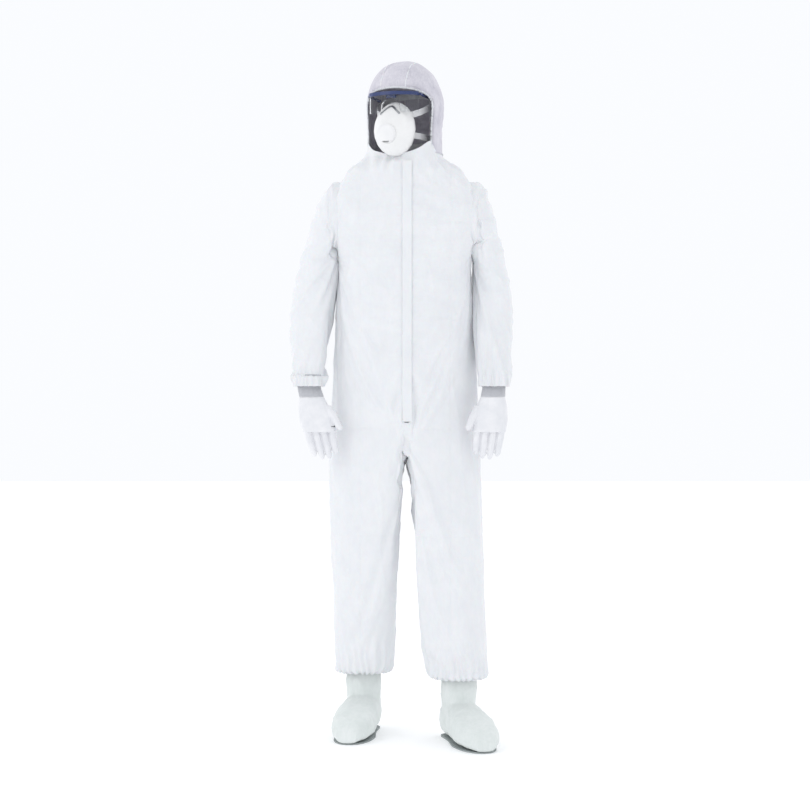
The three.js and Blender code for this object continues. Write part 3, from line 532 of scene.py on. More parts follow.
def leg_ring(tris, z, side, outer, inner):
    """One row of a leg: the outer part from front to back, then the inner part back to the front."""
    origin = np.array((0.0, 0.0, z))
    flat = outline(tris, origin, ACROSS, BACK, ANGLES - math.pi / 2)
    flat = smooth_ring(flat, 4)
    if side < 0:
        flat = flat[::-1]
    corner = len(ANGLES) * 40 // 360
    front = len(ANGLES) - corner
    back = len(ANGLES) // 2 + corner
    if side < 0:
        front, back = len(ANGLES) - corner - 1, len(ANGLES) // 2 + corner - 1
    order = np.arange(front, front + len(ANGLES) + 1) % len(ANGLES)
    turned = flat[order]
    split = (back - front) % len(ANGLES)
    out = spaced(turned[: split + 1], outer)
    home = spaced(turned[split:], inner + 2)[1:-1]
    both = np.concatenate([out, home])
    return np.column_stack([both, np.full(len(both), z)])


def rim_lift(p):
    """The neck's rim dips under the chin and rises at the cheeks to meet the hood's edge."""
    angle = np.abs(bearing(p))
    lift = -0.012 * np.exp(-((angle / 25) ** 2)) + 0.026 * np.exp(-(((angle - 60) / 18) ** 2))
    return lift * np.clip((72 - angle) / 12, 0, 1) * np.clip((p[:, 2] - SKIRT_LOW.z + 0.010) / 0.023, 0, 1)


def build_coverall():
    """Neck, trunk and both legs as one grid of cloth, with the slot for the zip left open."""
    tris = triangles(*TRUNK_NODES, "hood_skirt")
    top = COLLAR_LOW.z + 0.001
    crotch = SEAT_LOW.z + 0.003
    neck = list(np.linspace(SKIRT_HIGH.z - 0.001, SKIRT_LOW.z + 0.002, NECK_ROWS - NECK_ROWS // 2))
    neck += list(np.linspace(COLLAR_HIGH.z - 0.001, top + ROW * 0.7, NECK_ROWS // 2))
    heights = np.array(neck + list(np.linspace(top, crotch, round((top - crotch) / ROW))))
    count = len(heights)
    rings = np.array([trunk_ring(tris, max(z, SEAT_LOW.z + 0.010)) for z in heights])
    rings[:, :, 2] = heights[:, None]
    rings = smooth_rows(rings, 3)
    cove = NECK_ROWS + 9
    rings[:cove] = smooth_rows(rings[:cove], 14)
    rings[:NECK_ROWS, :, 2] += rim_lift(rings[:NECK_ROWS].reshape(-1, 3)).reshape(NECK_ROWS, -1)
    heights[:cove] = rings[:cove, TRUNK_COLUMNS // 2, 2]
    points = list(rings.reshape(-1, 3))
    columns = TRUNK_COLUMNS
    faces, part = [], []
    for r in range(count - 1):
        for c in range(columns):
            d = (c + 1) % columns
            if (c == 0 or d == 0) and r >= NECK_ROWS and heights[r] > SLOT_FOOT:
                continue
            faces.append((r * columns + c, (r + 1) * columns + c, (r + 1) * columns + d, r * columns + d))
            part.append(5 if r < NECK_ROWS else 0)
    seam = (count - 1) * columns
    half = columns // 2
    crotch_line = []
    fore, aft = rings[-1][0], rings[-1][half]
    for k in range(1, CROTCH_COLUMNS + 1):
        share = k / (CROTCH_COLUMNS + 1)
        crotch_line.append(len(points))
        points.append(aft + (fore - aft) * share - UP * 0.004 * math.sin(math.pi * share))
    pins = set(range((NECK_ROWS + 1) * columns))
    for r in range(count):
        if heights[r] > SLOT_FOOT - 0.02:
            pins.update((r * columns, r * columns + 1, r * columns + columns - 1))
    for name, side in SIDES.items():
        leg_tris = triangles("thigh_leg_" + name, "shin_leg_" + name, "ankle_elastic_" + name)
        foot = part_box("ankle_elastic_" + name)[0].z
        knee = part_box("thigh_leg_" + name)[0].z
        rows = round((crotch - foot) / ROW)
        zs = np.linspace(crotch - ROW, foot + 0.001, rows)
        stack = []
        for z in zs:
            z_cut = z if abs(z - knee) > 0.0015 else z + 0.003
            ring = leg_ring(leg_tris, z_cut, side, half + 1, CROTCH_COLUMNS)
            ring[:, 2] = z
            stack.append(ring)
        if side > 0:
            above = [seam + c for c in range(half + 1)] + crotch_line
        else:
            above = [seam + (columns - c) % columns for c in range(half + 1)] + crotch_line
        first_ring = np.array([points[i] for i in above])
        for k in range(LEG_JOIN_ROWS):
            share = ease((k + 1) / (LEG_JOIN_ROWS + 1))
            stack[k][:, :2] = first_ring[:, :2] + (stack[k][:, :2] - first_ring[:, :2]) * share
        for k in range(LEG_JOIN_ROWS):
            apart = THIGH_GAP * (k + 1) / LEG_JOIN_ROWS
            inner_x = SLOT_X + side * apart
            reach = (stack[k][:, 0] - inner_x) * side
            stack[k][:, 0] = inner_x + side * np.maximum(reach, 0)
        hips = [rings[-HIP_ROWS + k][[i - seam for i in above[: half + 1]]] for k in range(HIP_ROWS - 1)]
        outside = smooth_rows(hips + [first_ring[: half + 1]] + [ring[: half + 1] for ring in stack], 12)
        stack = smooth_rows([first_ring] + stack, 6)[1:]
        stack[:, 1:half] = outside[HIP_ROWS:, 1:half]
        for k, ring in enumerate(outside[:HIP_ROWS]):
            row = (count - HIP_ROWS + k) * columns
            for c in range(1, half):
                points[row + above[c] - seam] = ring[c]
        wide = len(above)
        base = len(points)
        points += list(stack.reshape(-1, 3))
        thigh_split = knee + (crotch - knee) * 0.38
        for r in range(rows):
            upper = above if r == 0 else [base + (r - 1) * wide + c for c in range(wide)]
            lower = [base + r * wide + c for c in range(wide)]
            for c in range(wide):
                d = (c + 1) % wide
                face = (upper[c], lower[c], lower[d], upper[d])
                faces.append(face if side > 0 else face[::-1])
                part.append((1 if side > 0 else 3) + (0 if zs[r] > thigh_split else 1))
        pins.update(range(base + (rows - 2) * wide, base + rows * wide))
    made = new_object("coverall", points, faces)
    made.data.polygons.foreach_set("material_index", part)
    return made, sorted(pins)


def arm_ring(tris, origin, up):
    flat = outline(tris, origin, BACK, up, np.linspace(0, 2 * math.pi, SLEEVE_COLUMNS * 4 + 1)[:-1])
    flat = smooth_ring(flat, 6)[::4]
    return origin + flat @ np.stack([BACK, up])


def build_sleeve(name, side):
    """A sleeve as one tube, from inside the armhole to the cuff."""
    upper = triangles("upper_sleeve_" + name)
    lower = triangles("forearm_sleeve_" + name, "cuff_elastic_" + name)
    low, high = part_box("upper_sleeve_" + name)
    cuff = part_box("cuff_elastic_" + name)[0].z
    armhole_x = min(abs(low.x), abs(high.x))
    shoulder_y = (low.y + high.y) / 2
    radius = (high.y - low.y) / 2
    shoulder_z = high.z - radius
    outward = ACROSS * side
    rings = []
    for inset, share in ((0.021, 0.955), (0.012, 0.975), (0.004, 0.99)):
        angles = np.linspace(0, 2 * math.pi, SLEEVE_COLUMNS + 1)[:-1]
        flat = np.column_stack([np.cos(angles), np.sin(angles)]) * radius * share
        centre = np.array((side * (armhole_x - inset), shoulder_y, shoulder_z))
        rings.append(centre + flat @ np.stack([BACK, UP]))
    elbow = arm_ring(lower, np.array((0.0, 0.0, low.z - 0.004)), outward)
    elbow_middle = (elbow.min(0) + elbow.max(0)) / 2
    start = np.array((side * (armhole_x + 0.003), shoulder_y, shoulder_z))
    steps = 30
    for k in range(steps):
        share = k / steps
        angle = math.pi / 2 * (1 - share)
        up = outward * math.cos(angle) + UP * math.sin(angle)
        origin = start + (elbow_middle - start) * share
        rings.append(arm_ring(upper, origin, up))
    for z in np.linspace(low.z - 0.004, cuff + 0.0008, round((low.z - cuff) / ROW)):
        rings.append(arm_ring(lower, np.array((0.0, 0.0, z)), outward))
    rings = smooth_rows(rings, 3)
    rise = np.clip((rings[:, :, 2] - shoulder_z) / radius, 0, 1) ** 2
    near = np.exp(-(((np.abs(rings[:, :, 0]) - armhole_x) / 0.034) ** 2))
    rings[:, :, 2] += SHOULDER_CAP * rise * near
    faces = lattice(len(rings), SLEEVE_COLUMNS, True)
    if side > 0:
        faces = [f[::-1] for f in faces]
    made = new_object("sleeve_" + name, rings.reshape(-1, 3), faces)
    count = len(rings) * SLEEVE_COLUMNS
    pins = list(range(4 * SLEEVE_COLUMNS)) + list(range(count - 2 * SLEEVE_COLUMNS, count))
    return made, pins


def wearer_inside(made, room):
    """A copy of the cloth a little further in, which holds the cloth up as a wearer's body does."""
    inner = bpy.data.objects.new(made.name + "_wearer", made.data.copy())
    bpy.context.scene.collection.objects.link(inner)
    set_points(inner, get_points(made) - get_normals(made) * room)
    inner.modifiers.new("collision", "COLLISION")
    inner.collision.thickness_outer = 0.003
    inner.collision.cloth_friction = 12
    return inner


def add_cloth(made, pins, growth, stiffness):
    group = made.vertex_groups.new(name="held")
    group.add(pins, 1.0, "REPLACE")
    cloth = made.modifiers.new("cloth", "CLOTH")
    settings = cloth.settings
    settings.quality = 6
    settings.mass = 0.15
    settings.tension_stiffness = stiffness
    settings.compression_stiffness = stiffness
    settings.shear_stiffness = stiffness * 0.5
    settings.bending_stiffness = 0.6
    settings.tension_damping = 8
    settings.compression_damping = 8
    settings.air_damping = 2
    settings.shrink_min = -growth
    settings.vertex_group_mass = "held"
    cloth.collision_settings.use_collision = True
    cloth.collision_settings.distance_min = 0.003
    cloth.collision_settings.use_self_collision = False
    cloth.point_cache.frame_start = 1
    cloth.point_cache.frame_end = CLOTH_FRAMES
    return cloth


def settle(jobs):
    """Lets the cloth of several pieces buckle and hang, then keeps the result, within the cap."""
    rest = [get_points(made) for made, *_ in jobs]
    inner = [wearer_inside(made, room) for made, *_, room in jobs]
    for made, pins, growth, stiffness, _ in jobs:
        add_cloth(made, pins, growth, stiffness)
    scene = bpy.context.scene
    for step in range(1, CLOTH_FRAMES + 1):
        scene.frame_set(step)
    for (made, *_), before in zip(jobs, rest):
        bake(made)
        moved = get_points(made) - before
        length = np.linalg.norm(moved, axis=1, keepdims=True)
        moved *= np.minimum(1, CLOTH_CAP / np.maximum(length, 1e-9))
        set_points(made, before + moved)
    for helper in inner:
        bpy.data.objects.remove(helper)
    scene.frame_set(1)


def split_by_part(made, names):
    """Separate pieces from the faces of each material index; the shading runs on across the cuts."""
    normals = get_normals(made)
    points = get_points(made)
    pieces = {}
    for index, name in enumerate(names):
        chosen = [p.vertices[:] for p in made.data.polygons if p.material_index == index]
        used = sorted({v for face in chosen for v in face})
        place = {v: k for k, v in enumerate(used)}
        piece = new_object(name, points[used], [[place[v] for v in face] for face in chosen])
        piece.data.normals_split_custom_set_from_vertices([tuple(normals[v]) for v in used])
        pieces[name] = piece
    bpy.data.objects.remove(made)
    return pieces


def line_dent(values, place, width):
    return np.exp(-((values - place) / width) ** 2)


def dress_coverall(made):
    """Creases from packing, small wrinkles and folds round the neck on the finely divided cloth."""
    p = get_points(made)
    x, y, z = p[:, 0], p[:, 1], p[:, 2]
    held = np.clip((np.abs(x - SLOT_X) - 0.012) / 0.02, 0, 1)
    held[y > -0.03] = 1
    held = np.minimum(held, np.clip((SKIRT_HIGH.z - 0.004 - z) / 0.02, 0, 1))
    amount = creases(p, 0.11, 1, (1, 1, 0.6)) * 0.0016 + creases(p, 0.07, 2, (1.2, 1, 0.8)) * 0.0010
    amount += creases(p, 0.05, 3, (0.7, 0.7, 1.5)) * 0.0008
    amount += waves(p, 0.035, 4) * 0.0007 + waves(p, 0.016, 5) * 0.00025
    for place in PACKING_ROWS:
        amount -= line_dent(z + waves(p, 0.3, 6) * 0.006, place, 0.0022) * 0.0016
    for place in PACKING_COLUMNS:
        amount -= line_dent(x + waves(p, 0.3, 7) * 0.005, place, 0.0022) * 0.0013 * (y < 0)
    swell(made, amount * held)
    rise = np.clip((z - COLLAR_LOW.z + 0.015) / (SKIRT_HIGH.z - COLLAR_LOW.z + 0.015), 0, 1)
    angle = np.radians(bearing(p))
    wobble = np.array([noise.noise(Vector((a * 1.7, 0.2, h * 9))) for a, h in zip(angle, z)])
    swell(made, np.sin(angle * 19 + wobble * 6) * 0.0034 * np.sin(math.pi * rise ** 0.8) * held)


def gather(p, low, high, count, depth, centre):
    """Folds that an elastic draws in, fading away from its line."""
    angle = np.arctan2(p[:, 1] - centre[1], p[:, 0] - centre[0])
    wobble = np.array([noise.noise(Vector((a * 2.0, z * 12, 3.3))) for a, z in zip(angle, p[:, 2])])
    fade = np.clip((high - p[:, 2]) / (high - low), 0, 1) ** 1.3
    return np.sin(angle * count + wobble * 5) * depth * fade


# ---------------------------------------------------------------- the hood's cloth
def hood_edge(tris):
    """The face opening's edge, from the wearer's right cheek over the brow to the left one."""
    low = HEAD_ORIGIN[2] + 0.004
    sides = {1: [], -1: []}
    for z in np.linspace(low, BROW_Z - 0.030, 20):
        origin = np.array((HEAD_ORIGIN[0], HEAD_ORIGIN[1], z))
        flat = outline(tris, origin, HEAD_X, HEAD_Y, ANGLES - math.pi / 2, None, centre=False)
        for side in sides:
            beside = flat[(flat[:, 0] * side > 0.03) & (np.abs(flat[:, 1] + HOOD_EDGE) < 0.004)]
            if len(beside):
                x, y = beside[np.argmin(np.abs(beside[:, 1] + HOOD_EDGE))]
                sides[side].append(origin + HEAD_X * x + HEAD_Y * y)
    origin = np.array((HEAD_ORIGIN[0], HEAD_ORIGIN[1], BROW_Z + 0.004))
    flat = outline(tris, origin, HEAD_X, HEAD_Y, ANGLES - math.pi / 2, None, centre=False)
    angles = np.degrees(np.arctan2(flat[:, 0], -flat[:, 1]))
    front = flat[np.abs(angles) < 52]
    front = front[np.argsort(np.arctan2(front[:, 0], -front[:, 1]))]
    drop = 0.016 * (np.degrees(np.arctan2(front[:, 0], -front[:, 1])) / 52) ** 2
    brow = [origin + HEAD_X * x + HEAD_Y * y - UP * (0.004 + d) for (x, y), d in zip(front, drop)]
    edge = spaced(np.array(sides[-1] + brow + sides[1][::-1]), HOOD_COLUMNS)
    for _ in range(10):
        edge[1:-1] = edge[1:-1] * 0.5 + (edge[:-2] + edge[2:]) * 0.25
    return edge


def hood_foot(start, finish):
    """The hood's lower seam on the neck's rim, from the right cheek round the back to the left cheek."""
    origin = np.array((HEAD_ORIGIN[0], HEAD_ORIGIN[1], HEAD_ORIGIN[2] - 0.005))
    skirt = triangles("hood_skirt")
    flat = outline(skirt, origin, HEAD_X, HEAD_Y, ANGLES - math.pi / 2, None, centre=False)
    flat *= 1 + 0.0025 / np.linalg.norm(flat, axis=1, keepdims=True)
    turn = np.arctan2(flat[:, 0], -flat[:, 1]) % (2 * math.pi)
    first = math.radians(bearing(start[None])[0]) % (2 * math.pi)
    last = math.radians(bearing(finish[None])[0]) % (2 * math.pi)
    kept = (turn <= first) & (turn >= last)
    flat, turn = flat[kept], turn[kept]
    flat = flat[np.argsort(-turn)]
    ring = origin + flat @ np.stack([HEAD_X, HEAD_Y])
    return spaced(np.concatenate([[start], ring, [finish]]), HOOD_COLUMNS)


def between(a, b, shares):
    """Directions on the great circle from a to b."""
    angle = math.acos(float(np.clip(a @ b, -1, 1)))
    if angle < 1e-4:
        return np.repeat(a[None], len(shares), 0)
    return (np.sin((1 - shares) * angle)[:, None] * a + np.sin(shares * angle)[:, None] * b) / math.sin(angle)


def build_hood():
    """Columns of cloth that run from the face opening over the head to the neck seam."""
    tris = triangles("hood_side_left", "hood_side_right", "hood_gusset")
    tree = tree_of(tris)
    edge = hood_edge(tris)
    foot = hood_foot(edge[0], edge[-1])
    centre = HEAD_ORIGIN + UP * 0.025 + HEAD_Y * 0.008
    shares = np.linspace(0, 1, HOOD_ROWS)
    columns = []
    for start, finish in zip(edge, foot):
        near, far = np.linalg.norm(start - centre), np.linalg.norm(finish - centre)
        ways = between((start - centre) / near, (finish - centre) / far, shares)
        reach = np.full(HOOD_ROWS, np.nan)
        reach[0], reach[-1] = near, far
        for k in range(1, HOOD_ROWS - 1):
            way = Vector(ways[k])
            hit = tree.ray_cast(Vector(centre) + way * 0.5, -way)[0]
            if hit is not None and (hit - Vector(centre)).dot(way) > 0.03:
                reach[k] = (hit - Vector(centre)).length
        good = ~np.isnan(reach)
        reach = np.interp(shares, shares[good], reach[good])
        columns.append(centre + ways * reach[:, None])
    rows = np.array(columns).transpose(1, 0, 2)
    for _ in range(4):
        rows[1:-1, 1:-1] = rows[1:-1, 1:-1] * 0.5 + (rows[1:-1, :-2] + rows[1:-1, 2:]) * 0.25
    rows = smooth_rows(rows, 5)
    made = new_object("hood_cloth", rows.reshape(-1, 3), lattice(HOOD_ROWS, HOOD_COLUMNS, False))
    return made


PACKING_ROWS = (
    SEAT_LOW.z + 0.048, SEAT_LOW.z + 0.59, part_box("thigh_leg_left")[0].z - 0.001, SEAT_HIGH.z + 0.02,
)
PACKING_COLUMNS = (0.120, -0.118)

coverall, coverall_pins = build_coverall()
hood = build_hood()
sleeves = {name: build_sleeve(name, side) for name, side in SIDES.items()}
settle(
    [(coverall, coverall_pins, 0.046, 14.0, CLOTH_ROOM)]
    + [(made, pins, 0.085, 12.0, CLOTH_ROOM) for made, pins in sleeves.values()]
)
relax(coverall, 0.5, 1)
subdivide(coverall, 1)
dress_coverall(coverall)
for name, side in SIDES.items():
    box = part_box("ankle_elastic_" + name)
    centre = (box[0] + box[1]) / 2
    p = get_points(coverall)
    mask = (p[:, 0] * side > 0) & (p[:, 2] < box[1].z + 0.10)
    amount = gather(p, box[0].z, box[1].z + 0.10, 26, 0.0035, centre) * mask
    swell(coverall, amount)

PART_NAMES = (
    "coverall_trunk", "leg_left_upper", "leg_left_lower", "leg_right_upper", "leg_right_lower", "neck_cloth",
)
parts = split_by_part(coverall, PART_NAMES)
for piece in parts.values():
    paint(piece, CLOTH)
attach(parts["coverall_trunk"], "trunk")
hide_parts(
    "front_panel_left", "front_panel_right", "back_panel", "seat_panel", "waist_elastic"
)
for name in SIDES:
    upper, lower = parts[f"leg_{name}_upper"], parts[f"leg_{name}_lower"]
    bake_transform(upper)
    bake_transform(lower)
    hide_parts("thigh_leg_" + name)
    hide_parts("shin_leg_" + name, "ankle_elastic_" + name)

for name, side in SIDES.items():
    made = sleeves[name][0]
    relax(made, 0.4, 1)
    subdivide(made, 1)
    p = get_points(made)
    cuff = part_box("cuff_elastic_" + name)
    amount = creases(p, 0.08, 11, (1, 1, 0.9)) * 0.0016 + creases(p, 0.05, 12, (0.6, 0.6, 1.6)) * 0.0011
    amount += waves(p, 0.03, 13) * 0.0007 + waves(p, 0.016, 14) * 0.00025
    free = np.clip((np.abs(p[:, 0]) - 0.188) / 0.02, 0, 1)
    swell(made, amount * free + gather(p, cuff[0].z, cuff[1].z + 0.05, 22, 0.0022, (cuff[0] + cuff[1]) / 2))
    paint(made, CLOTH)
    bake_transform(made)
    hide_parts("upper_sleeve_" + name, "forearm_sleeve_" + name, "cuff_elastic_" + name)


# ---------------------------------------------------------------- neck and hood
neck = parts["neck_cloth"]
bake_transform(neck)
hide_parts("collar", "hood_skirt")


def dress_hood(made, rim):
    """Gathers and a raised band along the face opening, two seams over the crown, and soft folds."""
    p = get_points(made)
    near = np.full(len(p), 1.0)
    along = np.zeros(len(p))
    for start in range(0, len(p), 4000):
        apart = np.linalg.norm(p[start:start + 4000, None] - rim[None], axis=2)
        near[start:start + 4000] = apart.min(1)
        along[start:start + 4000] = apart.argmin(1)
    soft = np.clip((near - 0.004) / 0.03, 0, 1) * np.clip((p[:, 2] - SKIRT_HIGH.z + 0.004) / 0.03, 0, 1)
    amount = (creases(p, 0.085, 21) * 0.0042 + creases(p, 0.045, 24, (1, 1, 0.6)) * 0.0022) * soft
    amount += (waves(p, 0.06, 22) * 0.0034 + waves(p, 0.018, 23) * 0.0007) * soft
    amount += 0.0012 * np.sin(along * 1.55) * np.exp(-((near / 0.012) ** 2))
    amount += 0.0011 * (near < ELASTIC_BAND) - 0.0008 * line_dent(near, ELASTIC_BAND + 0.0008, 0.0012)
    beside = np.abs((p - HEAD_ORIGIN) @ HEAD_X)
    amount += 0.0010 * line_dent(beside, GUSSET_HALF, 0.0030) * (near > ELASTIC_BAND)
    swell(made, amount)


def ribbon(name, middle, width, height, normals):
    """A narrow raised band along a line that lies on a surface."""
    along = np.gradient(middle, axis=0)
    along /= np.linalg.norm(along, axis=1, keepdims=True)
    across = np.cross(along, normals)
    across /= np.maximum(np.linalg.norm(across, axis=1, keepdims=True), 1e-9)
    angles = np.linspace(0, 2 * math.pi, 9)[:-1]
    rings = [middle + across * (width / 2 * math.cos(a)) + normals * (height * math.sin(a)) for a in angles]
    points = np.array(rings).transpose(1, 0, 2)
    made = new_object(name, points.reshape(-1, 3), lattice(len(middle), 8, True))
    mesh = bmesh.new()
    mesh.from_mesh(made.data)
    bmesh.ops.holes_fill(mesh, edges=mesh.edges, sides=10)
    bmesh.ops.recalc_face_normals(mesh, faces=mesh.faces)
    mesh.to_mesh(made.data)
    mesh.free()
    return made


def dress_hood_edges(hood, rim):
    """The white elastic round the face opening and the two sewn seams over the crown."""
    corners = [Vector(p) for p in get_points(hood)]
    tree = BVHTree.FromPolygons(corners, [p.vertices[:] for p in hood.data.polygons])

    def laid(line, lift):
        found = [tree.find_nearest(Vector(p)) for p in line]
        normals = np.array([hit[1] for hit in found])
        normals *= np.sign(np.sum(normals * (line - HEAD_ORIGIN - UP * 0.06), axis=1, keepdims=True))
        return np.array([hit[0] for hit in found]) + normals * lift, normals

    middle, normals = laid(rim, 0.0002)
    wobble = np.sin(np.arange(len(middle)) * 1.55)[:, None]
    pieces = [(ribbon("hood_edge_band", middle + normals * 0.0006 * wobble, 0.0062, 0.0017, normals), ELASTIC)]
    for name, side in SIDES.items():
        line = []
        for turn in np.linspace(math.radians(38), math.radians(168), 90):
            way = -HEAD_Y * math.cos(turn) + UP * math.sin(turn)
            start = HEAD_ORIGIN + UP * 0.03 + HEAD_X * side * GUSSET_HALF + way * 0.5
            hit = tree.ray_cast(Vector(start), Vector(-way))[0]
            if hit is not None and (np.array(hit) - HEAD_ORIGIN - UP * 0.03) @ way > 0.03:
                line.append(np.array(hit))
        line = spaced(np.array(line), 110)
        middle, normals = laid(line, 0.0)
        pieces.append((ribbon("hood_seam_" + name, middle, 0.0030, 0.0009, normals), CLOTH))
    for made, material in pieces:
        paint(made, material)
        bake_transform(made)


hood_rim = spaced(get_points(hood)[:HOOD_COLUMNS], 400)
subdivide(hood, 1)
dress_hood(hood, hood_rim)
dress_hood_edges(hood, hood_rim)
paint(hood, HOOD)
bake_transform(hood)
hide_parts("hood_side_left", "hood_side_right", "hood_gusset", "hood_elastic")


# ---------------------------------------------------------------- the zip's flap
def build_flap():
    columns, rows = 9, 140
    width = FLAP_HIGH.x - FLAP_LOW.x
    points = []
    for r in range(rows):
        z = FLAP_HIGH.z + (FLAP_LOW.z - FLAP_HIGH.z) * r / (rows - 1)
        for c in range(columns):
            x = FLAP_LOW.x + width * c / (columns - 1)
            ripple = 0.0006 * noise.noise(Vector((x * 40, z * 18, 2)))
            points.append((x + 0.0008 * noise.noise(Vector((1, z * 10, 5))), flap_back(z) - 0.0005 + ripple, z))
    made = new_object("flap_cloth", points, [f[::-1] for f in lattice(rows, columns, False)])
    return made


flap = build_flap()
thicken(flap, FLAP_THICKNESS, 1.0)
round_edges(flap, 0.0008)
paint(flap, CLOTH)
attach(flap, "flap")
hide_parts("storm_flap")


# ---------------------------------------------------------------- the cloth's sizes, measured and not kept
def girth(piece):
    """The way round a tube of cloth, from its breadth and depth."""
    half = np.ptp(get_points(piece), axis=0)[:2] / 2
    return math.pi * (3 * half.sum() - math.sqrt((3 * half[0] + half[1]) * (half[0] + 3 * half[1])))


def declare_tube(piece):
    """Measures a tube of cloth's girth and height. The real cut isn't known, so the finished tube's own sizes are
    measured; the values are not kept.
    """
    wide, tall = girth(piece), np.ptp(get_points(piece)[:, 2])


declare_tube(parts["coverall_trunk"])
declare_tube(neck)
for name in SIDES:
    declare_tube(parts[f"leg_{name}_upper"])
    declare_tube(parts[f"leg_{name}_lower"])
    sleeve = sleeves[name][0]
    tall = np.ptp(get_points(sleeve)[:, 2])


# ---------------------------------------------------------------- CAD nodes with their finish
def outer_skin(node, name, voxel, times, keep_below=None):
    """A smooth skin over a hollow CAD node: its outer faces, closed, remeshed and evened out."""
    tris = triangles(node)
    corners = [Vector(c) for tri in tris for c in tri]
    index = [(3 * k, 3 * k + 1, 3 * k + 2) for k in range(len(tris))]
    tree = BVHTree.FromPolygons(corners, index)
    chosen = []
    for k, tri in enumerate(tris):
        normal = Vector(np.cross(tri[1] - tri[0], tri[2] - tri[0]))
        if normal.length < 1e-12:
            continue
        normal.normalize()
        middle = Vector(tri.mean(0))
        if tree.ray_cast(middle + normal * 0.0006, normal)[0] is None:
            chosen.append(index[k])
    made = new_object(name, corners, chosen)
    mesh = bmesh.new()
    mesh.from_mesh(made.data)
    bmesh.ops.remove_doubles(mesh, verts=mesh.verts, dist=0.0002)
    loose = [v for v in mesh.verts if not v.link_faces]
    bmesh.ops.delete(mesh, geom=loose, context="VERTS")
    bmesh.ops.holes_fill(mesh, edges=mesh.edges, sides=400)
    bmesh.ops.triangulate(mesh, faces=mesh.faces)
    bmesh.ops.recalc_face_normals(mesh, faces=mesh.faces)
    mesh.to_mesh(made.data)
    mesh.free()
    remesh(made, voxel)
    relax(made, 0.6, times)
    if keep_below is not None:
        mesh = bmesh.new()
        mesh.from_mesh(made.data)
        high = [f for f in mesh.faces if f.calc_center_median().z > keep_below]
        bmesh.ops.delete(mesh, geom=high, context="FACES")
        mesh.to_mesh(made.data)
        mesh.free()
    made.data.polygons.foreach_set("use_smooth", [True] * len(made.data.polygons))
    return made


def softened(node, name, voxel, times, levels=0):
    """A smooth piece from a CAD node's solid."""
    made = bpy.data.objects.new(name, NODES[node].data.copy())
    bpy.context.scene.collection.objects.link(made)
    remesh(made, voxel)
    relax(made, 0.6, times)
    if levels:
        subdivide(made, levels)
    made.data.polygons.foreach_set("use_smooth", [True] * len(made.data.polygons))
    return made


for name in SIDES:
    glove = softened("glove_" + name, "glove_hand_" + name, 0.0015, 6)
    paint(glove, COATING)
    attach(glove, "forearm_" + name)
    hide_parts("glove_" + name)
    wrist = softened("glove_cuff_" + name, "glove_knit_" + name, 0.0018, 4)
    paint(wrist, KNIT)
    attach(wrist, "forearm_" + name)
    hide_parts("glove_cuff_" + name)
    shoe_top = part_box("overshoe_upper_" + name)[1].z
    shoe = outer_skin("overshoe_upper_" + name, "overshoe_cloth_" + name, 0.0036, 8, shoe_top - 0.004)
    p = get_points(shoe)
    dents = creases(p, 0.05, 31) * 0.0018 + waves(p, 0.03, 32) * 0.0016
    swell(shoe, dents * np.clip(p[:, 2] / 0.02, 0, 1))
    paint(shoe, OVERSHOE)
    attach(shoe, "shin_" + name)
    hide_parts("overshoe_upper_" + name)

mask = softened("mask_shell", "mask_cup", 0.0014, 6)
paint(mask, FELT)
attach(mask, "headgear")
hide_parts("mask_shell")

def build_nose_strip():
    """A thin metal strip in the shape of a low roof across the mask, pressed against its surface."""
    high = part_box("mask_shell")[1]
    tris = triangles("mask_shell")
    tree = tree_of(tris)
    top = high.z - 0.013
    foot, ridge = top - 0.024, top - 0.002
    line = spaced(np.array([(-0.027, foot), (-0.004, ridge), (0.004, ridge), (0.027, foot)]), 33)
    for _ in range(3):
        line[1:-1] = line[1:-1] * 0.5 + (line[:-2] + line[2:]) * 0.25
    away = np.gradient(line, axis=0)
    away = np.column_stack([-away[:, 1], away[:, 0]]) / np.linalg.norm(away, axis=1, keepdims=True)
    points = []
    for place, side in zip(line, away):
        for share in np.linspace(-0.5, 0.5, 5):
            x, z = place + side * share * 0.0048
            start = HEAD_ORIGIN * (1, 1, 0) + HEAD_X * x + UP * z - HEAD_Y * 0.4
            hit, normal = tree.ray_cast(Vector(start), Vector(HEAD_Y))[:2]
            if hit is None:
                hit, normal = tree.find_nearest(Vector(start + HEAD_Y * 0.3))[:2]
            points.append(hit + normal * 0.0004)
    made = new_object("nose_strip", points, lattice(33, 5, False))
    thicken(made, 0.0009, 1.0)
    round_edges(made, 0.0003)
    paint(made, METAL)
    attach(made, "headgear")
    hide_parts("nose_clip")


build_nose_strip()

FINISH = {
    "zip_tape_left": ZIP_TAPE, "zip_tape_right": ZIP_TAPE, "zip_chain_left": ZIP_COIL, "zip_chain_right": ZIP_COIL,
    "zip_top_stop_left": ZIP_COIL, "zip_top_stop_right": ZIP_COIL, "zip_bottom_stop": ZIP_COIL,
    "zip_slider": ZIP_COIL, "zip_puller": ZIP_COIL, "overshoe_sole_left": SOLE, "overshoe_sole_right": SOLE,
    "overshoe_elastic_left": ELASTIC, "overshoe_elastic_right": ELASTIC, "mask_seal": FELT,
    "valve_seat": VALVE, "valve_cover": VALVE, "valve_flap": MEMBRANE, "strap_upper": STRAP, "strap_lower": STRAP,
    "brow_bar": BLUE, "lens": LENS, "nose_bridge": BLUE, "temple_left": BLUE, "temple_right": BLUE,
    "temple_pin_left": METAL, "temple_pin_right": METAL,
}
for node, finish in FINISH.items():
    made = NODES[node]
    for index in range(len(made.material_slots)):
        made.material_slots[index].material = finish
    bevel = made.modifiers.new("soft_edges", "BEVEL")
    bevel.width = 0.0004
    bevel.segments = 2
    bevel.limit_method = "ANGLE"
    bevel.angle_limit = math.radians(40)


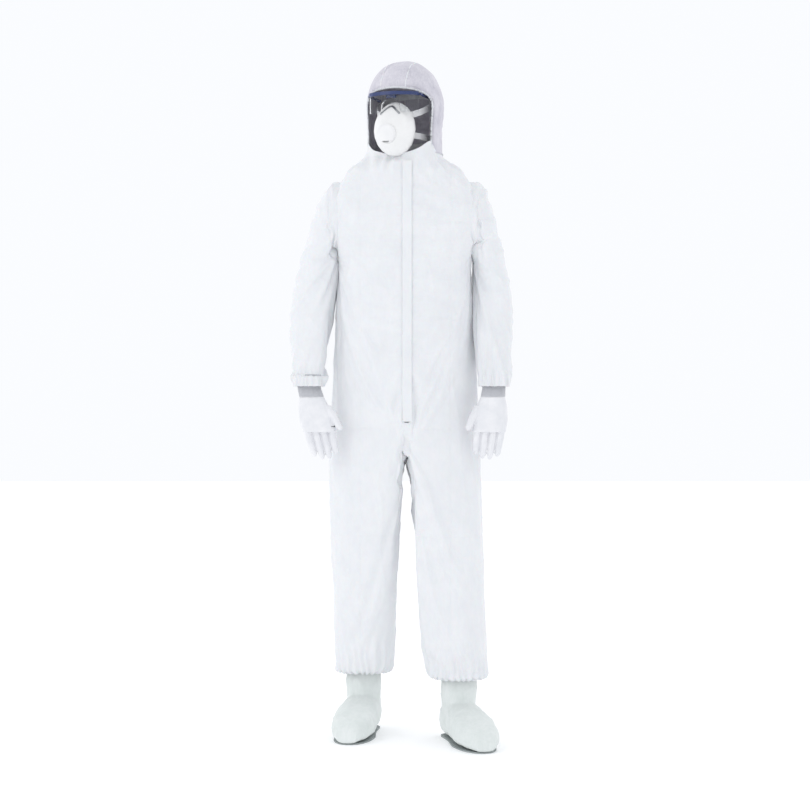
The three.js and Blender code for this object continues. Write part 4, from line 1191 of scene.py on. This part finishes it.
# ---------------------------------------------------------------- floor, light and camera
def build_stage():
    world = bpy.data.worlds.new("studio")
    bpy.context.scene.world = world
    world.use_nodes = True
    sky = world.node_tree.nodes["Background"]
    sky.inputs["Color"].default_value = (0.96, 0.975, 1.0, 1)
    sky.inputs["Strength"].default_value = 1.0
    reach = 14.0
    corners = [(-reach, -reach, 0), (reach, -reach, 0), (reach, reach, 0), (-reach, reach, 0)]
    floor = new_object("floor", corners, [(0, 1, 2, 3)])
    made, tree, target, where = shader("pale_floor")
    mottle = noise_of(tree, where, 3, 2)
    feed(tree, target, "Base Color", tint(tree, mottle, (0.92, 0.92, 0.925), (0.94, 0.94, 0.945)))
    target.inputs["Emission Color"].default_value = (1.0, 1.0, 1.0, 1)
    target.inputs["Emission Strength"].default_value = 0.14
    target.inputs["Roughness"].default_value = 0.9
    paint(floor, made)
    lights = (
        ("key", (-3.6, -2.6, 3.2), 2.8, 22, (1.0, 0.99, 0.98)),
        ("fill", (3.2, -3.0, 2.2), 2.6, 3, (0.96, 0.98, 1.0)),
        ("back_left", (-2.6, 3.0, 2.8), 2.0, 14, (1, 1, 1)),
        ("back_right", (2.8, 3.0, 2.8), 2.0, 12, (1, 1, 1)),
    )
    for name, place, size, power, color in lights:
        light = bpy.data.lights.new(name, "AREA")
        light.size = size
        light.energy = power
        light.color = color
        made = bpy.data.objects.new(name, light)
        bpy.context.scene.collection.objects.link(made)
        made.location = place
        made.rotation_euler = (Vector((0, 0, 0.95)) - Vector(place)).to_track_quat("-Z", "Y").to_euler()


def build_camera():
    camera = bpy.data.objects.new("camera", bpy.data.cameras.new("camera"))
    bpy.context.scene.collection.objects.link(camera)
    distance = 5.2
    height = 0.93
    seen_height = 2.18
    camera.location = (0, -distance, height)
    camera.rotation_euler = (math.radians(90), 0, 0)
    camera.data.sensor_width = 36
    camera.data.lens = 36 * distance / seen_height
    camera.data.shift_y = -0.0215
    bpy.context.scene.camera = camera


build_stage()
build_camera()
bpy.context.scene.view_settings.view_transform = "Standard"
